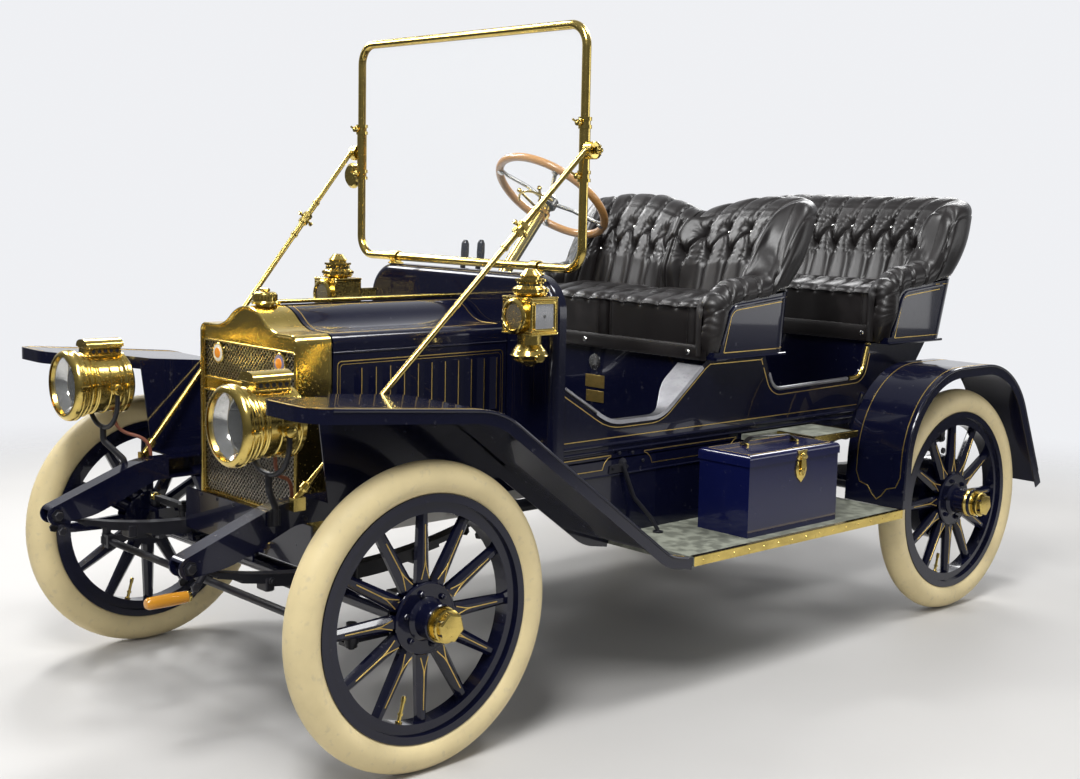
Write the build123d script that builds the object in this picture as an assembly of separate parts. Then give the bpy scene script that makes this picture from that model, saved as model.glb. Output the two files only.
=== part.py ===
from build123d import *
import math
import os

os.makedirs("parts", exist_ok=True)

# Brass era four-seat touring car, right-hand drive, in millimetres.
# +X is the car's left, the front looks to -Y, +Z is up and the ground is Z = 0.
# Y is counted from the middle of the wheelbase, and every piece is moved once, when it is
# written, so that the origin is under the middle of the whole length.

# Running gear
WHEELBASE = 2362
TRACK = 1422
TYRE_D = 784
TYRE_SECTION = 89
WHEEL_X = TRACK / 2
AXLE_Z = TYRE_D / 2
FRONT_Y = -WHEELBASE / 2
REAR_Y = WHEELBASE / 2

# Wheels
RIM_SEAT_R = 306
RIM_FLANGE_R = 313
RIM_W = 66
FELLOE_IN_R = 265
FELLOE_W = 46
SPOKES = 12
SPOKE_RIM_W = 27
SPOKE_HUB_W = 40
SPOKE_T = 34
HUB_FLANGE_R = 85
HUB_FLANGE_T = 7
HUB_R = 45
HUB_IN = 30
FRONT_CAP_OUT = 124
REAR_CAP_OUT = 148
CAP_R = 34
CAP_HEX_R = 36
BORE_CLEAR = 0.05
DRUM_R = 150
DRUM_W = 44
SPINDLE_R = 17
SPINDLE_IN_HUB = 70

# Front axle, knuckles and steering linkage
KINGPIN_X = 652
KINGPIN_R = 11
AXLE_TUBE_R = 24
AXLE_TUBE_Z = 380
EAR_R = 23
EAR_T = 14
EAR_GAP = 66
KNUCKLE_R = 22
KNUCKLE_H = 60
TIE_Y = FRONT_Y - 166
TIE_Z = 353
TIE_R = 11
TIE_PIN_R = 8
TIE_EYE_R = 18
TIE_EYE_T = 20
TIE_OPEN_CLEAR = 0.8
STEER_ARM = 180
DRAG_Z = 466
DRAG_R = 10
DRAG_PIN_R = 9
DROP_ARM = 180
DROP_Y = -560
DROP_X = 430
DRAG_SLOT = 30

# Springs
SPRING_X = 369
SPRING_W = 40
LEAF_T = 8
FRONT_SPRING_HALF = 446
FRONT_SPRING_RISE = 62
FRONT_LEAVES = 5
REAR_SPRING_HALF = 450
REAR_SPRING_RISE = 40
REAR_LEAVES = 6
SPRING_EYE_R = 16
SPRING_BOLT_R = 8
SHACKLE_T = 6
LUG_DROP = 18
PAD_T = 10

# Frame
RAIL_X = 396
RAIL_W = 54
RAIL_TOP = 650
RAIL_H = 62
RAIL_T = 5
RAIL_REAR_Y = REAR_Y + 464
GEARBOX_REAR_Y = 130
HORN_TIP_Y = FRONT_Y - 459
HORN_TIP_Z = 522
HORN_TIP_R = 28

# Radiator and bonnet
RAD_FRONT_Y = FRONT_Y - 59
RAD_REAR_Y = FRONT_Y + 45
RAD_HALF_W = 252
RAD_BOTTOM = 525
SHOULDER_Z = 1054
PEAK_Z = 1116
OGEE_X = 170
SHOULDER_R = 26
CORE_HALF_W = 238
CORE_BOTTOM = 566
CORE_TOP = 1008
CORE_RECESS = 10
CORE_T = 70
RAD_WALL = 3
CAP_Y = FRONT_Y - 5
FILLER_R = 32
FILLER_TOP = 1150
CRANK_Z = 435
CRANK_R = 10
CRANK_BEND_Y = RAD_FRONT_Y - 105
GRIP_Z = 330
GRIP_Y0 = RAD_FRONT_Y - 190
GRIP_Y1 = RAD_FRONT_Y - 304
GRIP_R = 15
HOOD_FRONT_Y = RAD_REAR_Y + 6
HOOD_REAR_Y = -516
HOOD_T = 3
HOOD_BOTTOM = 640
HOOD_SPLIT = 8
LOUVRES = 11
LOUVRE_Y0 = HOOD_FRONT_Y + 77
LOUVRE_PITCH = 48.3
LOUVRE_W = 24
LOUVRE_RISE = 8
LOUVRE_Z0 = 804
LOUVRE_Z1 = 960
SEAM_Z = 1002
SEAM_ROD_R = 3.5
HINGE_ROD_R = 6
HINGE_ROD_Z = PEAK_Z + 8

# Dash and windscreen
DASH_FRONT_Y = -510
DASH_REAR_Y = -460
DASH_HALF_W = 450
DASH_TOP = 1205
DASH_BOTTOM = 650
DASH_CORNER_R = 110
DASH_EDGE_R = 24
SCREEN_Y = -484
SCREEN_HALF_W = 533
SCREEN_LOW = 1227
SCREEN_HIGH = 1910
SCREEN_CORNER_R = 62
SCREEN_R = 13
GLASS_T = 6
STAY_R = 8
STAY_TOP = (563, -508, 1561)
STAY_FOOT = (404, FRONT_Y - 171, 652)

# Lamps
LAMP_X = 447
LAMP_Y = FRONT_Y - 380
LAMP_Z = 869
LAMP_RIM_R = 98
LAMP_BODY_R = 84
LAMP_LEN = 184
LAMP_BOWL_DEPTH = 95
CHIMNEY_Y0 = LAMP_Y + 54
CHIMNEY_Y1 = LAMP_Y + 152
CHIMNEY_HALF_W = 33
CHIMNEY_TOP = LAMP_Z + 113
CHIMNEY_HOLE_R = 6
CHIMNEY_HOLES = 5
TRUNNION_Y = LAMP_Y + 109
TRUNNION_Z = LAMP_Z - 10
FORK_R = 7
FORK_HALF = 94
FORK_FOOT = (406, FRONT_Y - 227, 600)
NIPPLE = (432, LAMP_Y + 137, 778)
HOSE_END = (376, FRONT_Y - 159, 656)
HOSE_R = 5
SIDE_LAMP_X = 471
SIDE_LAMP_Y = -621
SIDE_LAMP_HALF_W = 59
SIDE_LAMP_HALF_D = 49
SIDE_LAMP_Z0 = 1049
SIDE_LAMP_Z1 = 1153
SIDE_LENS_R = 47

# Body
BODY_HALF_W = 440
WALL = 20
BODY_FLOOR_Z = 650
FLOOR_T = 22
BODY_FRONT_Y = -460

# Seats: each is a tub, upright below its knee, leaning and wider above
SEAT_HALF_W = 498
SEAT_HIGH_HALF_W = 512
SEAT_SIDE_T = 26
SEAT_BASE_Z = 928
SEAT_BASE_T = 24
SEAT_KNEE_Z = 1160
SEAT_HIGH_Z = 1450
SEAT_CORNER_R = 90
SEAT_HIGH_CORNER_R = 130
LINING_T = 62
LINING_GAP = 1
ARM_ROLL_R = 42
ARM_ROLL_X = 454
CUSHION_TOP = 1092
CUSHION_R = 26
CUSHION_HALF_W = 405
FRONT_SEAT_Y0 = 136
FRONT_BACK_Y = (528, 552, 716)
FRONT_PANEL = [(158, 0), (196, 1106), (620, 1147)]
FRONT_ARM = [(180, 0), (183, 1142), (430, 1152)]
FRONT_WING = [(330, 1148), (402, 1204), (478, 1382), (570, 1436), (706, 1436), (830, 1150)]
FRONT_WING_R = [0, 110, 90, 90, 55, 0]
FRONT_TOP_HALF = [(1, 1374), (70, 1400), (230, 1434), (390, 1437), (470, 1424), (520, 1385), (560, 1300)]
REAR_SEAT_Y0 = 1076
REAR_BACK_Y = (1456, 1521, 1664)
REAR_PANEL = [(1094, 0), (1136, 1122), (1600, 1168)]
REAR_ARM = [(1106, 0), (1109, 1163), (1380, 1172)]
REAR_WING = [(1262, 1168), (1330, 1228), (1400, 1392), (1490, 1448), (1640, 1448), (1760, 1170)]
REAR_WING_R = [0, 110, 90, 90, 60, 0]
REAR_TOP_HALF = [(0, 1448), (380, 1448), (465, 1432), (520, 1388), (560, 1300)]

# Fenders and running boards
FENDER_OUT_X = 795
FENDER_FRONT_IN_X = 462
FENDER_FRONT_Y = FRONT_Y - 384
FENDER_T = 4
LIP_DEPTH = 35
APRON_X = 448
APRON_T = 4
BOARD_Z = 417
BOARD_T = 26
BOARD_Y0 = -268
STEP_Z = 668
STEP_T = 18
STEP_OUT_X = 636
STEP_NARROW_X = 482
STEP_PAST_BOX = 250
BOARD_Y1 = REAR_Y - 409

# Tool box
BOX_Y0 = 35
BOX_Y1 = 473
BOX_IN_X = 541
BOX_OUT_X = 741
BOX_TOP = 669
BOX_LID_H = 34
BOX_WALL = 10
LID_GAP = 1
LID_HINGE_R = 5

# Steering wheel
COLUMN_X = -215
COLUMN_TOP = (84, 1430)
COLUMN_FOOT = (-553, 650)
COLUMN_R = 21
RING_R = 205
RING_TUBE_R = 13
LEVER_X = -BODY_HALF_W + 80
LEVER_TOP_Z = 1245

FRONT_TIP = HORN_TIP_Y - HORN_TIP_R
REAR_TIP = REAR_Y + 492
Y_MIDDLE = (FRONT_TIP + REAR_TIP) / 2


def rod(start, end, radius):
    """A straight round bar between two points."""
    start, end = Vector(*start), Vector(*end)
    return Solid.make_cylinder(radius, (end - start).length, Plane(origin=start, z_dir=end - start))


def bent_rod(points, corner_r, radius, close=False):
    """A round bar along straight runs joined by arcs."""
    path = FilletPolyline(*points, radius=corner_r, close=close)
    return sweep(Plane(origin=path @ 0, z_dir=path % 0) * Circle(radius), path=path)


def block(x, y, z):
    """A box between pairs of limits."""
    centre = [(low + high) / 2 for low, high in (x, y, z)]
    return Pos(*centre) * Box(x[1] - x[0], y[1] - y[0], z[1] - z[0])


def side_face(points, corner_r=None):
    """A flat face in the Y-Z plane from (y, z) corners, all rounded alike if a radius is given."""
    corners = [(0, y, z) for y, z in points]
    if corner_r is None:
        return make_face(Polyline(*corners, close=True))
    return make_face(FilletPolyline(*corners, radius=corner_r, close=True))


def outline(points, radii):
    """A flat face in the Y-Z plane from (y, z) corners, each with its own radius, 0 for a sharp one."""
    ends, edges = [], []
    count = len(points)
    for i, (y, z) in enumerate(points):
        here = Vector(0, y, z)
        before = (here - Vector(0, *points[i - 1])).normalized()
        after = (Vector(0, *points[(i + 1) % count]) - here).normalized()
        half = math.radians(before.get_angle(after)) / 2
        if radii[i] == 0:
            ends.append((here, here))
            continue
        reach = radii[i] * math.tan(half)
        start, end = here - before * reach, here + after * reach
        middle = here + (after - before).normalized() * (radii[i] / math.cos(half) - radii[i])
        edges.append(ThreePointArc(start, middle, end))
        ends.append((start, end))
    for i in range(count):
        edges.append(Line(ends[i - 1][1], ends[i][0]))
    return make_face(edges)


def side_prism(points, radii, x0, x1):
    """A prism along X over an outline in the Y-Z plane."""
    return Pos(x0, 0, 0) * extrude(outline(points, radii), amount=x1 - x0, dir=(1, 0, 0))


def side_plate(points, x0, x1, corner_r=None):
    """A plate with its outline in the Y-Z plane, from x0 to x1."""
    return Pos(x0, 0, 0) * extrude(side_face(points, corner_r), amount=x1 - x0, dir=(1, 0, 0))


def beside(points, gap):
    """Corners of the line that runs at the given distance to the right of a (y, z) line."""
    normals = []
    for (y0, z0), (y1, z1) in zip(points, points[1:]):
        length = math.hypot(y1 - y0, z1 - z0)
        normals.append(((z1 - z0) / length, -(y1 - y0) / length))
    corners = []
    for i, (y, z) in enumerate(points):
        a = normals[max(i - 1, 0)]
        b = normals[min(i, len(normals) - 1)]
        scale = gap / (1 + a[0] * b[0] + a[1] * b[1])
        corners.append((y + (a[0] + b[0]) * scale, z + (a[1] + b[1]) * scale))
    return corners


def turns_left(points, i):
    """Whether the line turns to its left at corner i."""
    (y0, z0), (y1, z1), (y2, z2) = points[i - 1:i + 2]
    return (y1 - y0) * (z2 - z1) - (z1 - z0) * (y2 - y1) > 0


def sheet(points, radii, thick, x0, x1):
    """A bent sheet: a (y, z) line with rounded corners, thickened to its right, from x0 to x1."""
    other = beside(points, thick)
    other_radii = [r + thick if turns_left(points, i + 1) else r - thick for i, r in enumerate(radii)]
    top = FilletPolyline(*[(0, y, z) for y, z in points], radius=radii)
    low = FilletPolyline(*[(0, y, z) for y, z in reversed(other)], radius=list(reversed(other_radii)))
    ends = [Line(top @ 1, low @ 0), Line(low @ 1, top @ 0)]
    return Pos(x0, 0, 0) * extrude(make_face([top, ends[0], low, ends[1]]), amount=x1 - x0, dir=(1, 0, 0))


def both_sides(*pieces):
    """The pieces and their mirror images on the car's other side."""
    solids = [solid for piece in pieces for solid in piece.solids()]
    return Compound([*solids, *[mirror(solid, about=Plane.YZ) for solid in solids]])


def turned(profile):
    """A solid turned about X from (x, radius) corners."""
    return revolve(make_face(Polyline(*[(x, r, 0) for x, r in profile], close=True)), Axis.X)


# Wheels

def spoke_section(width, thick, radius):
    """An eight-sided spoke section at a radius, in the wheel's own frame."""
    edge = min(width, thick) * 0.3
    w, t = width / 2, thick / 2
    corners = [(-t + edge, -w), (t - edge, -w), (t, -w + edge), (t, w - edge),
               (t - edge, w), (-t + edge, w), (-t, w - edge), (-t, -w + edge)]
    return make_face(Polyline(*[(x, y, radius) for x, y in corners], close=True))


def wheel(cap_out, with_drum):
    """A wooden wheel with its steel rim, hub and cap, axle along X, outer side towards +X."""
    half_rim, half_felloe = RIM_W / 2, FELLOE_W / 2
    rim = turned([(-half_felloe, FELLOE_IN_R), (half_felloe, FELLOE_IN_R), (half_felloe, RIM_SEAT_R - 13),
                  (half_rim, RIM_SEAT_R - 13), (half_rim, RIM_FLANGE_R), (half_rim - 6, RIM_FLANGE_R),
                  (half_rim - 6, RIM_SEAT_R), (-half_rim + 6, RIM_SEAT_R), (-half_rim + 6, RIM_FLANGE_R),
                  (-half_rim, RIM_FLANGE_R), (-half_rim, RIM_SEAT_R - 13), (-half_felloe, RIM_SEAT_R - 13)])
    one_spoke = loft([spoke_section(SPOKE_HUB_W * 0.72, SPOKE_T, HUB_R - 6),
                      spoke_section(SPOKE_HUB_W, SPOKE_T, HUB_FLANGE_R + 6),
                      spoke_section(SPOKE_RIM_W, SPOKE_T - 6, FELLOE_IN_R + 6)], ruled=True)
    half_t = SPOKE_T / 2
    cap_start = cap_out - 40
    hub = turned([(-HUB_IN, 0), (cap_out - 14, 0), (cap_out - 14, CAP_R), (cap_start, CAP_R),
                  (cap_start, HUB_R), (half_t + HUB_FLANGE_T, HUB_R), (half_t + HUB_FLANGE_T, HUB_FLANGE_R),
                  (half_t, HUB_FLANGE_R), (half_t, HUB_R), (-half_t, HUB_R), (-half_t, HUB_FLANGE_R),
                  (-half_t - HUB_FLANGE_T, HUB_FLANGE_R), (-half_t - HUB_FLANGE_T, HUB_R), (-HUB_IN, HUB_R)])
    hexagon = Plane(origin=(cap_out - 14, 0, 0), z_dir=(1, 0, 0)) * RegularPolygon(CAP_HEX_R, 6)
    pieces = [Rot(360 / SPOKES * i, 0, 0) * one_spoke for i in range(SPOKES)]
    pieces += [hub, extrude(hexagon, amount=14, dir=(1, 0, 0))]
    if with_drum:
        inner = -half_t - HUB_FLANGE_T
        pieces.append(turned([(inner, HUB_R - 5), (inner, DRUM_R), (inner - DRUM_W, DRUM_R),
                              (inner - DRUM_W, DRUM_R - 6), (inner - 6, DRUM_R - 6), (inner - 6, HUB_R - 5)]))
    whole = rim.fuse(*pieces)
    bore = turned([(-HUB_IN - 1, 0), (SPINDLE_IN_HUB, 0), (SPINDLE_IN_HUB, SPINDLE_R + BORE_CLEAR),
                   (-HUB_IN - 1, SPINDLE_R + BORE_CLEAR)])
    return whole - bore


def tyre():
    """A smooth round tyre seated on the rim, axle along X."""
    ring = Rot(0, 90, 0) * Torus(TYRE_D / 2 - TYRE_SECTION / 2, TYRE_SECTION / 2)
    half = RIM_W / 2
    seat = turned([(-half, 0), (half, 0),
                   (half, RIM_FLANGE_R), (half - 6, RIM_FLANGE_R), (half - 6, RIM_SEAT_R),
                   (-half + 6, RIM_SEAT_R), (-half + 6, RIM_FLANGE_R), (-half, RIM_FLANGE_R)])
    return ring - seat


def placed_wheel(piece, side, y):
    """Puts a wheel piece on its axle; side is +1 on the car's left and -1 on its right."""
    if side < 0:
        piece = mirror(piece, about=Plane.YZ)
    return Pos(side * WHEEL_X, y, AXLE_Z) * piece


# Front axle and steering

def front_axle():
    """Tubular axle with forked ends that hold the king pins, and a pad under each spring."""
    tube_end = KINGPIN_X - 46
    axle = rod((-tube_end, FRONT_Y, AXLE_TUBE_Z), (tube_end, FRONT_Y, AXLE_TUBE_Z), AXLE_TUBE_R)
    ear_low = AXLE_Z - EAR_GAP / 2 - EAR_T
    ear_high = AXLE_Z + EAR_GAP / 2 + EAR_T
    pieces = []
    for side in (-1, 1):
        x = side * KINGPIN_X
        for z in (ear_low, ear_high - EAR_T):
            pieces.append(Pos(x, FRONT_Y, z + EAR_T / 2) * Cylinder(EAR_R, EAR_T))
            pieces.append(block(sorted((x, x - side * 52)), (FRONT_Y - EAR_R + 3, FRONT_Y + EAR_R - 3),
                                (z, z + EAR_T)))
        pieces.append(block(sorted((x - side * 32, x - side * 58)),
                            (FRONT_Y - EAR_R + 3, FRONT_Y + EAR_R - 3),
                            (ear_low, ear_high)))
        pieces.append(block((side * SPRING_X - 30, side * SPRING_X + 30), (FRONT_Y - 45, FRONT_Y + 45),
                            (AXLE_TUBE_Z + AXLE_TUBE_R - 14, AXLE_TUBE_Z + AXLE_TUBE_R + PAD_T)))
    axle = axle.fuse(*pieces)
    for side in (-1, 1):
        axle -= rod((side * KINGPIN_X, FRONT_Y, ear_low - 1), (side * KINGPIN_X, FRONT_Y, ear_high + 1),
                    KINGPIN_R + BORE_CLEAR)
    return axle


def knuckle(side):
    """Knuckle with its king pin, wheel spindle and forward steering arm."""
    x = side * KINGPIN_X
    ear_low = AXLE_Z - EAR_GAP / 2 - EAR_T
    ear_high = AXLE_Z + EAR_GAP / 2 + EAR_T
    boss = Pos(x, FRONT_Y, AXLE_Z) * Cylinder(KNUCKLE_R, KNUCKLE_H)
    pin = rod((x, FRONT_Y, ear_low - 6), (x, FRONT_Y, ear_high + 8), KINGPIN_R)
    cup = Pos(x, FRONT_Y, ear_high + 18) * Cylinder(15, 26)
    spindle = rod((x, FRONT_Y, AXLE_Z), (side * (WHEEL_X + SPINDLE_IN_HUB - 4), FRONT_Y, AXLE_Z), SPINDLE_R)
    arm_z = TIE_Z
    neck_z = AXLE_Z - KNUCKLE_H / 2
    clear_y = FRONT_Y - EAR_R - 5
    arm = side_plate([(TIE_Y, arm_z - TIE_EYE_T / 2), (clear_y - 6, arm_z - TIE_EYE_T / 2),
                      (clear_y, neck_z),
                      (FRONT_Y, neck_z), (FRONT_Y, neck_z + 22), (clear_y - 20, neck_z + 22),
                      (clear_y - 34, arm_z + TIE_EYE_T / 2), (TIE_Y, arm_z + TIE_EYE_T / 2)], x - 9, x + 9)
    eye = Pos(x, TIE_Y, arm_z) * Cylinder(TIE_EYE_R, TIE_EYE_T)
    whole = boss.fuse(pin, cup, spindle, arm, eye)
    clear = BORE_CLEAR if side > 0 else TIE_OPEN_CLEAR
    whole -= rod((x, TIE_Y, arm_z - 30), (x, TIE_Y, arm_z + 30), TIE_PIN_R + clear)
    if side < 0:
        inner = x + STEER_ARM
        lever = block((x, inner), (FRONT_Y - 11, FRONT_Y + 11), (DRAG_Z - 8, DRAG_Z + 8))
        stud = rod((x, FRONT_Y, ear_high), (x, FRONT_Y, DRAG_Z), KINGPIN_R)
        end = Pos(inner, FRONT_Y, DRAG_Z) * Cylinder(18, 16)
        whole = whole.fuse(lever, stud, end)
        whole -= rod((inner, FRONT_Y, DRAG_Z - 30), (inner, FRONT_Y, DRAG_Z + 30), TIE_PIN_R + BORE_CLEAR)
    return whole


def tie_rod():
    """Cross rod ahead of the axle, with a yoke and a pin at each end."""
    reach = KINGPIN_X - 34
    whole = rod((-reach, TIE_Y, TIE_Z), (reach, TIE_Y, TIE_Z), TIE_R)
    gap = TIE_EYE_T + 2
    pieces = []
    for side in (-1, 1):
        x = side * KINGPIN_X
        for z in (TIE_Z - gap / 2 - 9, TIE_Z + gap / 2):
            pieces.append(Pos(x, TIE_Y, z + 4.5) * Cylinder(15, 9))
            pieces.append(block(sorted((x, x - side * 34)), (TIE_Y - 13, TIE_Y + 13), (z, z + 9)))
        pieces.append(block(sorted((x - side * 22, x - side * 36)), (TIE_Y - 13, TIE_Y + 13),
                            (TIE_Z - gap / 2 - 9, TIE_Z + gap / 2 + 9)))
        pieces.append(rod((x, TIE_Y, TIE_Z - gap / 2 - 14), (x, TIE_Y, TIE_Z + gap / 2 + 22), TIE_PIN_R))
        pieces.append(rod((x, TIE_Y, TIE_Z + gap / 2 + 9), (x, TIE_Y, TIE_Z + gap / 2 + 30), 13))
    return whole.fuse(*pieces)


def drag_link():
    """Fore-and-aft rod from the right knuckle's lever back to the drop arm."""
    x = -(KINGPIN_X - STEER_ARM)
    z = DRAG_Z - 24
    bar = rod((x, FRONT_Y, z), (x, DROP_Y - 30, z), DRAG_R)
    front = Pos(x, FRONT_Y, z) * Cylinder(16, 28)
    pin = rod((x, FRONT_Y, z - 4), (x, FRONT_Y, DRAG_Z + 18), TIE_PIN_R)
    rear = block((x - 12, x + 12), (DROP_Y - 34, DROP_Y + 26), (z - 22, z + DRAG_SLOT + 22))
    slot = block((x - 13, x + 13), (DROP_Y - DRAG_PIN_R - 0.3, DROP_Y + DRAG_PIN_R + 0.3),
                 (z - DRAG_PIN_R - 1, z + DRAG_SLOT))
    return bar.fuse(front, pin, rear) - slot


def drop_arm():
    """Arm on the steering box's cross shaft, with the pin that works the drag link."""
    z = DRAG_Z - 24
    top = z + DROP_ARM
    shaft = rod((-RAIL_X + RAIL_W + 30, DROP_Y, top), (-DROP_X - 5, DROP_Y, top), 14)
    arm = block((-DROP_X - 12, -DROP_X), (DROP_Y - 13, DROP_Y + 13), (z, top))
    ends = [Pos(-DROP_X - 6, DROP_Y, level) * Rot(0, 90, 0) * Cylinder(radius, 12)
            for level, radius in ((z, 16), (top, 19))]
    pin = rod((-DROP_X, DROP_Y, z), (-DROP_X - 78, DROP_Y, z), DRAG_PIN_R)
    return shaft.fuse(arm, *ends, pin)


# Springs and rear axle

def leaf_pack(half, rise, leaves, centre_y, low_z):
    """Leaves of one spring stacked under the longest, as concentric arcs in the Y-Z plane."""
    radius = (half ** 2 + rise ** 2) / (2 * rise)
    pieces = []
    for i in range(leaves):
        inner = radius + i * LEAF_T
        angle = math.degrees(math.asin(half * (1 - 0.155 * i) / radius))
        middle = Plane((0, centre_y, low_z + LEAF_T * leaves + radius), x_dir=(0, 1, 0), z_dir=(1, 0, 0))
        arcs = [middle * CenterArc((0, 0), r, -90 - angle, 2 * angle) for r in (inner, inner + LEAF_T)]
        ends = [Line(arcs[0] @ t, arcs[1] @ t) for t in (0, 1)]
        face = make_face([*arcs, *ends])
        pieces.append(extrude(face, amount=SPRING_W / 2, dir=(1, 0, 0), both=True))
    end_z = low_z + LEAF_T * leaves + rise
    for y in (centre_y - half, centre_y + half):
        pieces.append(Pos(0, y, end_z) * Rot(0, 90, 0) * Cylinder(SPRING_EYE_R, SPRING_W))
    clip_w = SPRING_W / 2 + 4
    high_z = low_z + LEAF_T * leaves + 12
    pieces.append(block((-clip_w, clip_w), (centre_y - 40, centre_y + 40), (low_z, high_z)))
    pack = pieces[0].fuse(*pieces[1:])
    for y in (centre_y - half, centre_y + half):
        pack -= rod((-SPRING_W, y, end_z), (SPRING_W, y, end_z), SPRING_BOLT_R + BORE_CLEAR)
    return pack, end_z


def shackles(y, low_z):
    """A pair of links with their two bolts, up to the lug under the rail."""
    high_z = RAIL_TOP - RAIL_H - LUG_DROP
    pieces = [side_plate([(y - 13, low_z - 13), (y + 13, low_z - 13),
                          (y + 13, high_z + 13), (y - 13, high_z + 13)],
                         x, x + SHACKLE_T, 12) for x in (-SPRING_W / 2 - SHACKLE_T - 1, SPRING_W / 2 + 1)]
    reach = SPRING_W / 2 + SHACKLE_T + 6
    pieces += [rod((-reach, y, z), (reach, y, z), SPRING_BOLT_R) for z in (low_z, high_z)]
    return pieces[0].fuse(*pieces[1:])


def front_springs():
    """Both front springs with their rear shackles."""
    pack, end_z = leaf_pack(FRONT_SPRING_HALF, FRONT_SPRING_RISE, FRONT_LEAVES, FRONT_Y,
                            AXLE_TUBE_Z + AXLE_TUBE_R + PAD_T)
    links = shackles(FRONT_Y + FRONT_SPRING_HALF, end_z)
    return both_sides(Pos(SPRING_X, 0, 0) * pack, Pos(SPRING_X, 0, 0) * links)


def rear_springs():
    """Both rear springs with their shackles."""
    pack, end_z = leaf_pack(REAR_SPRING_HALF, REAR_SPRING_RISE, REAR_LEAVES, REAR_Y, AXLE_Z + 30 + PAD_T)
    links = [Pos(SPRING_X, 0, 0) * shackles(REAR_Y + end * REAR_SPRING_HALF, end_z) for end in (-1, 1)]
    return both_sides(Pos(SPRING_X, 0, 0) * pack, *links)


def rear_axle():
    """Live axle: bevel-gear case, tapered tubes, wheel spindles, spring pads and torque tube."""
    drum_inner = WHEEL_X - SPOKE_T / 2 - HUB_FLANGE_T - DRUM_W
    end = drum_inner - 4
    shape = turned([(-end, 0), (-end, 30), (-150, 36), (-110, 100), (-50, 135), (50, 135), (110, 100),
                    (150, 36), (end, 30), (end, 0)])
    axle = Pos(0, REAR_Y, AXLE_Z) * shape
    pieces = []
    for side in (-1, 1):
        pieces.append(rod((side * (end - 2), REAR_Y, AXLE_Z),
                          (side * (WHEEL_X + SPINDLE_IN_HUB - 4), REAR_Y, AXLE_Z), SPINDLE_R))
        pieces.append(rod((side * (end - 8), REAR_Y, AXLE_Z), (side * end, REAR_Y, AXLE_Z), DRUM_R - 2))
        pieces.append(block((side * SPRING_X - 30, side * SPRING_X + 30), (REAR_Y - 45, REAR_Y + 45),
                            (AXLE_Z, AXLE_Z + 30 + PAD_T)))
    pieces.append(rod((0, REAR_Y - 100, AXLE_Z), (0, GEARBOX_REAR_Y + 60, 500), 34))
    return axle.fuse(*pieces)


# Frame and power unit

def rail_profile():
    """The side rail with its drooping front horn, as a face in the Y-Z plane."""
    low = RAIL_TOP - RAIL_H
    corners = [(RAIL_REAR_Y, low), (RAIL_REAR_Y, RAIL_TOP), (FRONT_Y - 204, RAIL_TOP),
               (HORN_TIP_Y - 12, HORN_TIP_Z + 25), (HORN_TIP_Y + 15, HORN_TIP_Z - 24), (FRONT_Y - 349, 508),
               (FRONT_Y - 159, low)]
    return corners, [0, 0, 250, 0, 0, 200, 90]


def drop_member():
    """Dropped cross member that carries the radiator, as a strip bent in the X-Z plane."""
    corners = [(391, 645), (391, 600), (300, 500)]
    inner = [(290, 518), (372, 612), (372, 645)]
    outer = corners + [(-x, z) for x, z in reversed(corners)]
    outline = outer + [(-x, z) for x, z in reversed(inner)] + inner
    face = make_face(Polyline(*[(x, 0, z) for x, z in outline], close=True))
    return Pos(0, FRONT_Y + 30, 0) * extrude(face, amount=60, dir=(0, -1, 0))


def frame():
    """Pressed channel side rails with forked horns and spring lugs, joined by cross members."""
    low = RAIL_TOP - RAIL_H
    in_x = RAIL_X - RAIL_W
    rail = side_prism(*rail_profile(), in_x, RAIL_X)
    tip = Pos(RAIL_X - RAIL_W / 2, HORN_TIP_Y, HORN_TIP_Z) * Rot(0, 90, 0) * Cylinder(HORN_TIP_R, RAIL_W)
    hollow = block((in_x - 1, RAIL_X - RAIL_T), (FRONT_Y - 119, RAIL_REAR_Y - 30),
                   (low + RAIL_T, RAIL_TOP - RAIL_T))
    slot_w = SPRING_W / 2 + 1
    horn_slot = block((SPRING_X - slot_w, SPRING_X + slot_w),
                      (HORN_TIP_Y - 60, HORN_TIP_Y + 80), (450, 538))
    eye_y = FRONT_Y - FRONT_SPRING_HALF
    eye_z = AXLE_TUBE_Z + AXLE_TUBE_R + PAD_T + LEAF_T * FRONT_LEAVES + FRONT_SPRING_RISE
    bolt = rod((in_x - 5, eye_y, eye_z), (RAIL_X + 5, eye_y, eye_z), SPRING_BOLT_R)
    lugs = []
    for y in (FRONT_Y + FRONT_SPRING_HALF, REAR_Y - REAR_SPRING_HALF, REAR_Y + REAR_SPRING_HALF):
        lug = block((SPRING_X - SPRING_W / 2, SPRING_X + SPRING_W / 2), (y - 14, y + 14),
                    (low - LUG_DROP - 14, low + 1))
        pin_z = low - LUG_DROP
        lugs.append(lug - rod((in_x, y, pin_z), (RAIL_X, y, pin_z), SPRING_BOLT_R + BORE_CLEAR))
    riser = rod((HOSE_END[0], HOSE_END[1], RAIL_TOP - 2), HOSE_END, 4)
    rail = (rail.fuse(tip) - hollow - horn_slot).fuse(bolt, riser, *lugs)
    cross = [drop_member()]
    for y in (GEARBOX_REAR_Y + 50, REAR_Y - 541, RAIL_REAR_Y - 30):
        bar = block((-RAIL_X + RAIL_T, RAIL_X - RAIL_T), (y - 25, y + 25),
                    (low + RAIL_T, RAIL_TOP - RAIL_T))
        bar -= block((-RAIL_X, RAIL_X), (y - 25 + RAIL_T, y + 25 - RAIL_T), (low, RAIL_TOP - 2 * RAIL_T))
        cross.append(bar)
    shaft_z = DRAG_Z - 24 + DROP_ARM
    shaft_hole = rod((-RAIL_X - 1, DROP_Y, shaft_z), (-in_x + 1, DROP_Y, shaft_z), 14 + BORE_CLEAR)
    return rail.fuse(mirror(rail, about=Plane.YZ), *cross) - shaft_hole


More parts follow.
